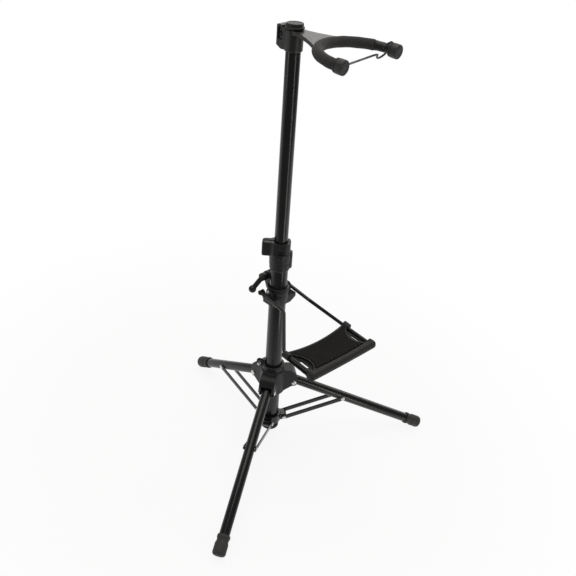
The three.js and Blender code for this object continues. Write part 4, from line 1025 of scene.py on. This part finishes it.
def cast_metal(name):
    """Powder-coated casting: fine sparkle of texture, worn warm grey along its edges."""
    cast = Finish(name)
    grain = cast.speckle(1300.0, 4.0, 0.7)
    wear = cast.speckle(60.0, 5.0, 0.6)
    tone = cast.mixed(wear, (0.0105, 0.0100, 0.0100), (0.0200, 0.0190, 0.0182))
    return cast.dress({
        "Base Color": cast.mixed(cast.edges(0.515, 0.58) * wear * 0.9, tone, (0.060, 0.056, 0.052)),
        "Roughness": 0.33 + grain * 0.16,
        "Specular IOR Level": 0.5,
        "Normal": cast.bump(grain, 0.28, 0.00022),
    })


def plate_outline():
    """The fan from the collar to the yoke, with hollow sides and a back that follows the yoke's bend."""
    root, waist, tip = (head_outer, plate_root), (0.66 * plate_tip[0], 18.0), plate_tip
    edge = []
    for i in range(25):
        t = i / 24
        edge.append(tuple(root[k] * (1 - t) ** 2 + waist[k] * 2 * t * (1 - t) + tip[k] * t * t for k in (0, 1)))
    reach = math.atan2(tip[1], yoke_reach - tip[0])
    back = arc((yoke_reach, 0.0), math.dist(tip, (yoke_reach, 0.0)), math.pi - reach, math.pi + reach, 40)
    return [(0.0, plate_root)] + edge + back[1:-1] + [(x, -y) for x, y in reversed(edge)] + [(0.0, -plate_root)]


plate = drawn(plate_outline(), plate_low, plate_high)
plate.transform(Matrix.Translation((0.0, 0.0, yoke_level)) @ Matrix.Rotation(yoke_tilt, 4, "Y"))
head_collar = [(9.0, head_low), (10.8, head_low), (head_outer, head_low + 1.0), (head_outer, head_high - 0.8),
               (head_outer - 0.8, head_high), (0.0, head_high), (0.0, head_high - 4.0), (9.0, head_high - 4.0)]
clamp_side = [(-9.8, 622.4), (-15.0, 622.4), (-22.0, 626.6), (-22.0, 650.2), (-21.2, head_top), (-13.2, head_top),
              (-12.5, 650.4), (-12.5, head_high), (-9.8, head_high)]
pocket = eased([(-19.4, 633.6), (-12.8, 633.6), (-12.8, 648.4), (-19.4, 648.4)], 1.2, ends=False)
head_hollows = [bore(9.8, head_low - 1, 641.0), bore(2.5, 640.0, 652.0),
                block((-30.0, -9.4), (-0.8, 0.8), (head_low - 1, 652.5))]
for sign in (-1, 1):
    head_hollows.append(drawn(pocket, *aside(sign, 4.6, 8.0), "Y"))
    head_hollows.append(across(head_screw_point, 2.3, *aside(sign, 0.0, 5.0)))
head_solids = [turned(head_collar, ring=True), drawn(clamp_side, -7.0, 7.0, "Y"), plate]
settle(moulded(head_solids, head_hollows, 0.42, ease=2, keep=0.4), "head_arm_casting", head_turn,
       cast_metal("head_casting"), "head", ["head_arm"], sharp=50.0)

# Top knob: a flat round cap with a stepped rim and a shallow dish, moulded on a steel screw that holds
# the head down on the tube.
knob_low, knob_step, knob_high, knob_disc, knob_flange, knob_screw = 648.1, 650.7, 655.5, 10.8, 12.2, 2.2
knob_wall = eased([
    (0.0, knob_high - 0.9), (7.2, knob_high - 0.9), (8.0, knob_high - 0.5), (knob_disc, knob_high - 0.5),
    (knob_disc + 0.2, knob_step), (knob_flange, knob_step - 0.3), (knob_flange, knob_low),
    (knob_screw, knob_low)], 1.3)
knob_wall += [(knob_screw, knob_low - 15.2), (knob_screw - 0.4, knob_low - 16.2), (0.0, knob_low - 16.2)]
top_plastic = moulded_plastic("top_knob_plastic", (0.0115, 0.0112, 0.0112), (0.0200, 0.0195, 0.0192), 0.42)
settle(turned(knob_wall, sides=96), "top_knob_moulding", head_turn, top_plastic, "cap_knob", ["top_knob"])

# Yoke: an 8 mm steel rod bent to a horseshoe and held in the casting, with a thick foam sleeve from
# the near end round to the far arm. The foam is cut open below, where the casting's plate reaches in.
yoke_turn = head_turn @ moved(0.0, 0.0, yoke_level) @ Matrix.Rotation(yoke_tilt, 4, "Y")
yoke_radius, yoke_arm, yoke_rod_radius, rod_end = 54.8, 11.0, 4.0, 3.3
yoke_length = 2 * yoke_arm + math.pi * yoke_radius
foam_start, foam_end, foam_outer = 12.3, 161.56, 6.53


def yoke_point(distance, out=0.0, lift=0.0):
    radius = yoke_radius + out
    if distance < yoke_arm:
        return Vector((yoke_reach + yoke_arm - distance, -radius, lift))
    if distance > yoke_length - yoke_arm:
        return Vector((yoke_reach + distance - yoke_length + yoke_arm, radius, lift))
    turn = (distance - yoke_arm) / yoke_radius
    return Vector((yoke_reach - radius * math.sin(turn), -radius * math.cos(turn), lift))


rod_way = [yoke_point(rod_end + (yoke_length - 2 * rod_end) * i / 90) for i in range(91)]
settle(bar_along(rod_way, yoke_rod_radius, satin_black, 24), "yoke_rod_painted", yoke_turn, satin_black,
       "head", ["yoke_rod"])


def swept(start, end, profile, rings=150, sides=56):
    """A closed tube along the yoke. profile gives its radius from the share of its length and the turn."""
    made = bmesh.new()
    rows = []
    for i in range(rings + 1):
        share = i / rings
        distance = start + (end - start) * share
        row = []
        for k in range(sides):
            turn = 2 * math.pi * k / sides
            radius = profile(share, turn)
            row.append(made.verts.new(yoke_point(distance, radius * math.cos(turn), radius * math.sin(turn))))
        rows.append(row)
    walled(made, rows)
    made.faces.new(rows[0][::-1])
    made.faces.new(rows[-1])
    bmesh.ops.recalc_face_normals(made, faces=made.faces)
    return made


def foam_skin(name):
    """Closed-cell foam: small open pores with painted shade darkening each pit, a soft grey bloom and no gloss."""
    foam = Finish(name)
    pores = {"Vector": foam.here, "Scale": 1400.0}
    # The pore pattern dents the bump and also darkens the colour in each pit: painted shade.
    pore_pits_and_shade = foam.node("ShaderNodeTexVoronoi", {"feature": "F1"}, pores, "Distance")
    bloom = foam.speckle(80.0, 5.0, 0.6)
    fine = foam.speckle(1700.0, 4.0, 0.7)
    return foam.dress({
        "Base Color": foam.mixed(pore_pits_and_shade * 0.8 + bloom * 0.5, (0.0160, 0.0156, 0.0158), (0.0370, 0.0358, 0.0355)),
        "Roughness": 0.80,
        "Specular IOR Level": 0.22,
        "Sheen Weight": 0.06,
        "Sheen Roughness": 0.5,
        "Normal": foam.bump(pore_pits_and_shade * 0.7 + fine * 0.5, 0.5, 0.00045),
    })


def foam_radius(share, turn):
    """Rounded in at both cut ends, and pressed in and out a little in slow waves along its length."""
    end = min(share, 1 - share) / 0.012
    squeeze = 0.10 * math.sin(share * 31.0) * math.sin(turn) + 0.12 * math.sin(share * 47.0 + 2.0)
    return foam_outer - 0.55 * max(0.0, 1 - end) ** 2 - squeeze * 0.8


plate_room = drawn([(x, y * 1.012) for x, y in plate_outline()], plate_low - 0.3, plate_high + 0.3)
foam_mesh = moulded([swept(foam_start, foam_end, foam_radius)], [plate_room], None)
yoke_foam_skin = foam_skin("yoke_foam")
settle(foam_mesh, "yoke_foam_sleeve", yoke_turn, yoke_foam_skin, "head", ["yoke_foam"], sharp=50.0)

# Wire sleeve and caps: a smooth dark sleeve that the wire turns on, and two moulded caps pushed over the
# ends of the rod. A cap has a flange, a groove, a full body and two rings sunk into its face.
sleeve_start, sleeve_end, sleeve_wall = 161.86, 181.86, 5.75
cap_long, cap_outer, neck_long, neck_outer, cap_bore, cap_floor = 12.0, 8.75, 3.0, 7.6, 4.0, 0.6
face_rings, ring_half, ring_deep = (6.6, 3.4), 0.45, 0.45


def sleeve_radius(share, turn):
    away = min(share, 1 - share) * (sleeve_end - sleeve_start)
    bead = 0.45 * math.exp(-((away - 1.2) / 0.7) ** 2)
    return sleeve_wall - 0.5 * max(0.0, 1 - away / 0.6) ** 2 + bead


settle(swept(sleeve_start, sleeve_end, sleeve_radius, 60), "wire_sleeve_moulding", yoke_turn, top_plastic, "head",
       ["wire_sleeve"])

cap_rubber = moulded_rubber("cap_rubber", 95.0, (0.0240, 0.0235, 0.0235), (0.0440, 0.0428, 0.0422), 0.42)
cap_wall = [(cap_bore, 0.0), (cap_outer - 0.4, 0.0), (cap_outer - 0.25, 1.9), (neck_outer, 2.2),
            (neck_outer, neck_long), (cap_outer, neck_long + 0.4), (cap_outer, cap_long - 0.9),
            (cap_outer - 0.9, cap_long)]
for radius in face_rings:
    cap_wall += [(radius + ring_half, cap_long), (radius + 0.2, cap_long - ring_deep),
                 (radius - 0.2, cap_long - ring_deep), (radius - ring_half, cap_long)]
cap_wall = eased(cap_wall, 0.5) + [(0.0, cap_long), (0.0, cap_floor), (cap_bore, cap_floor)]
for name, sign in (("near", -1), ("far", 1)):
    at_end = yoke_turn @ moved(yoke_reach + yoke_arm - cap_long, sign * yoke_radius, 0.0) @ Matrix.Rotation(
        math.pi / 2, 4, "Y")
    settle(turned(cap_wall, sides=88), f"yoke_cap_{name}_rubber", at_end, cap_rubber, "head", [f"yoke_cap_{name}"])

# Safety wire: one spring-steel wire that is wound round the sleeve of the far arm and springs across the
# mouth of the yoke, where its end clips behind the near cap. It is blackened and rubbed bright in places.
wire_radius, wire_end, wire_rise = 1.25, Vector((112.0, -44.75, 2.0)), 1.0
loop_middle, loop_radius, loop_lean = Vector((95.5, 54.0, -2.9)), 11.0, 6.0


def blackened_wire(name):
    steel = Finish(name)
    rub = steel.speckle(160.0, 4.0, 0.6)
    return steel.dress({
        "Base Color": steel.mixed(rub, (0.0055, 0.0055, 0.0055), (0.015, 0.0145, 0.014)),
        "Metallic": 0.0,
        "Roughness": 0.34 + rub * 0.20,
        "Normal": steel.bump(steel.speckle(2400.0, 2.0, 0.5), 0.12, 0.00012),
    })


spring_wire = blackened_wire("blackened_wire")
wire_way = []
for step in range(81):
    turn = math.radians(-25.0 - 310.0 * step / 80)
    wire_way.append(loop_middle + Vector((loop_lean * math.sin(turn), -loop_radius * math.cos(turn),
                                          loop_radius * math.sin(turn))))
loop_start = wire_way[0].copy()
for share in (0.04, 0.10, 0.2, 0.35, 0.5, 0.65, 0.8, 0.9, 1.0):
    point = loop_start.lerp(wire_end, share)
    point.z += wire_rise * math.sin(math.pi * min(1.0, share / 0.16) / 2) * (1 - share)
    wire_way.insert(0, point)
settle(bar_along(wire_way, wire_radius, spring_wire, 16), "safety_wire_steel", yoke_turn, spring_wire, "wire",
       ["safety_wire"])

# Hidden pieces: the bush on the foot of the upper tube slides inside the lower one, and rivet shanks
# pass through the legs. They keep their plain outlines and take the same plastic and zinc.
for node in ("slide_bush", "leg_rivet_left", "leg_rivet_right", "leg_rivet_rear"):
    hidden = bpy.data.objects[node]
    hidden.data.materials.clear()
    hidden.data.materials.append((clamp_plastic if node == "slide_bush" else bright_zinc).material)
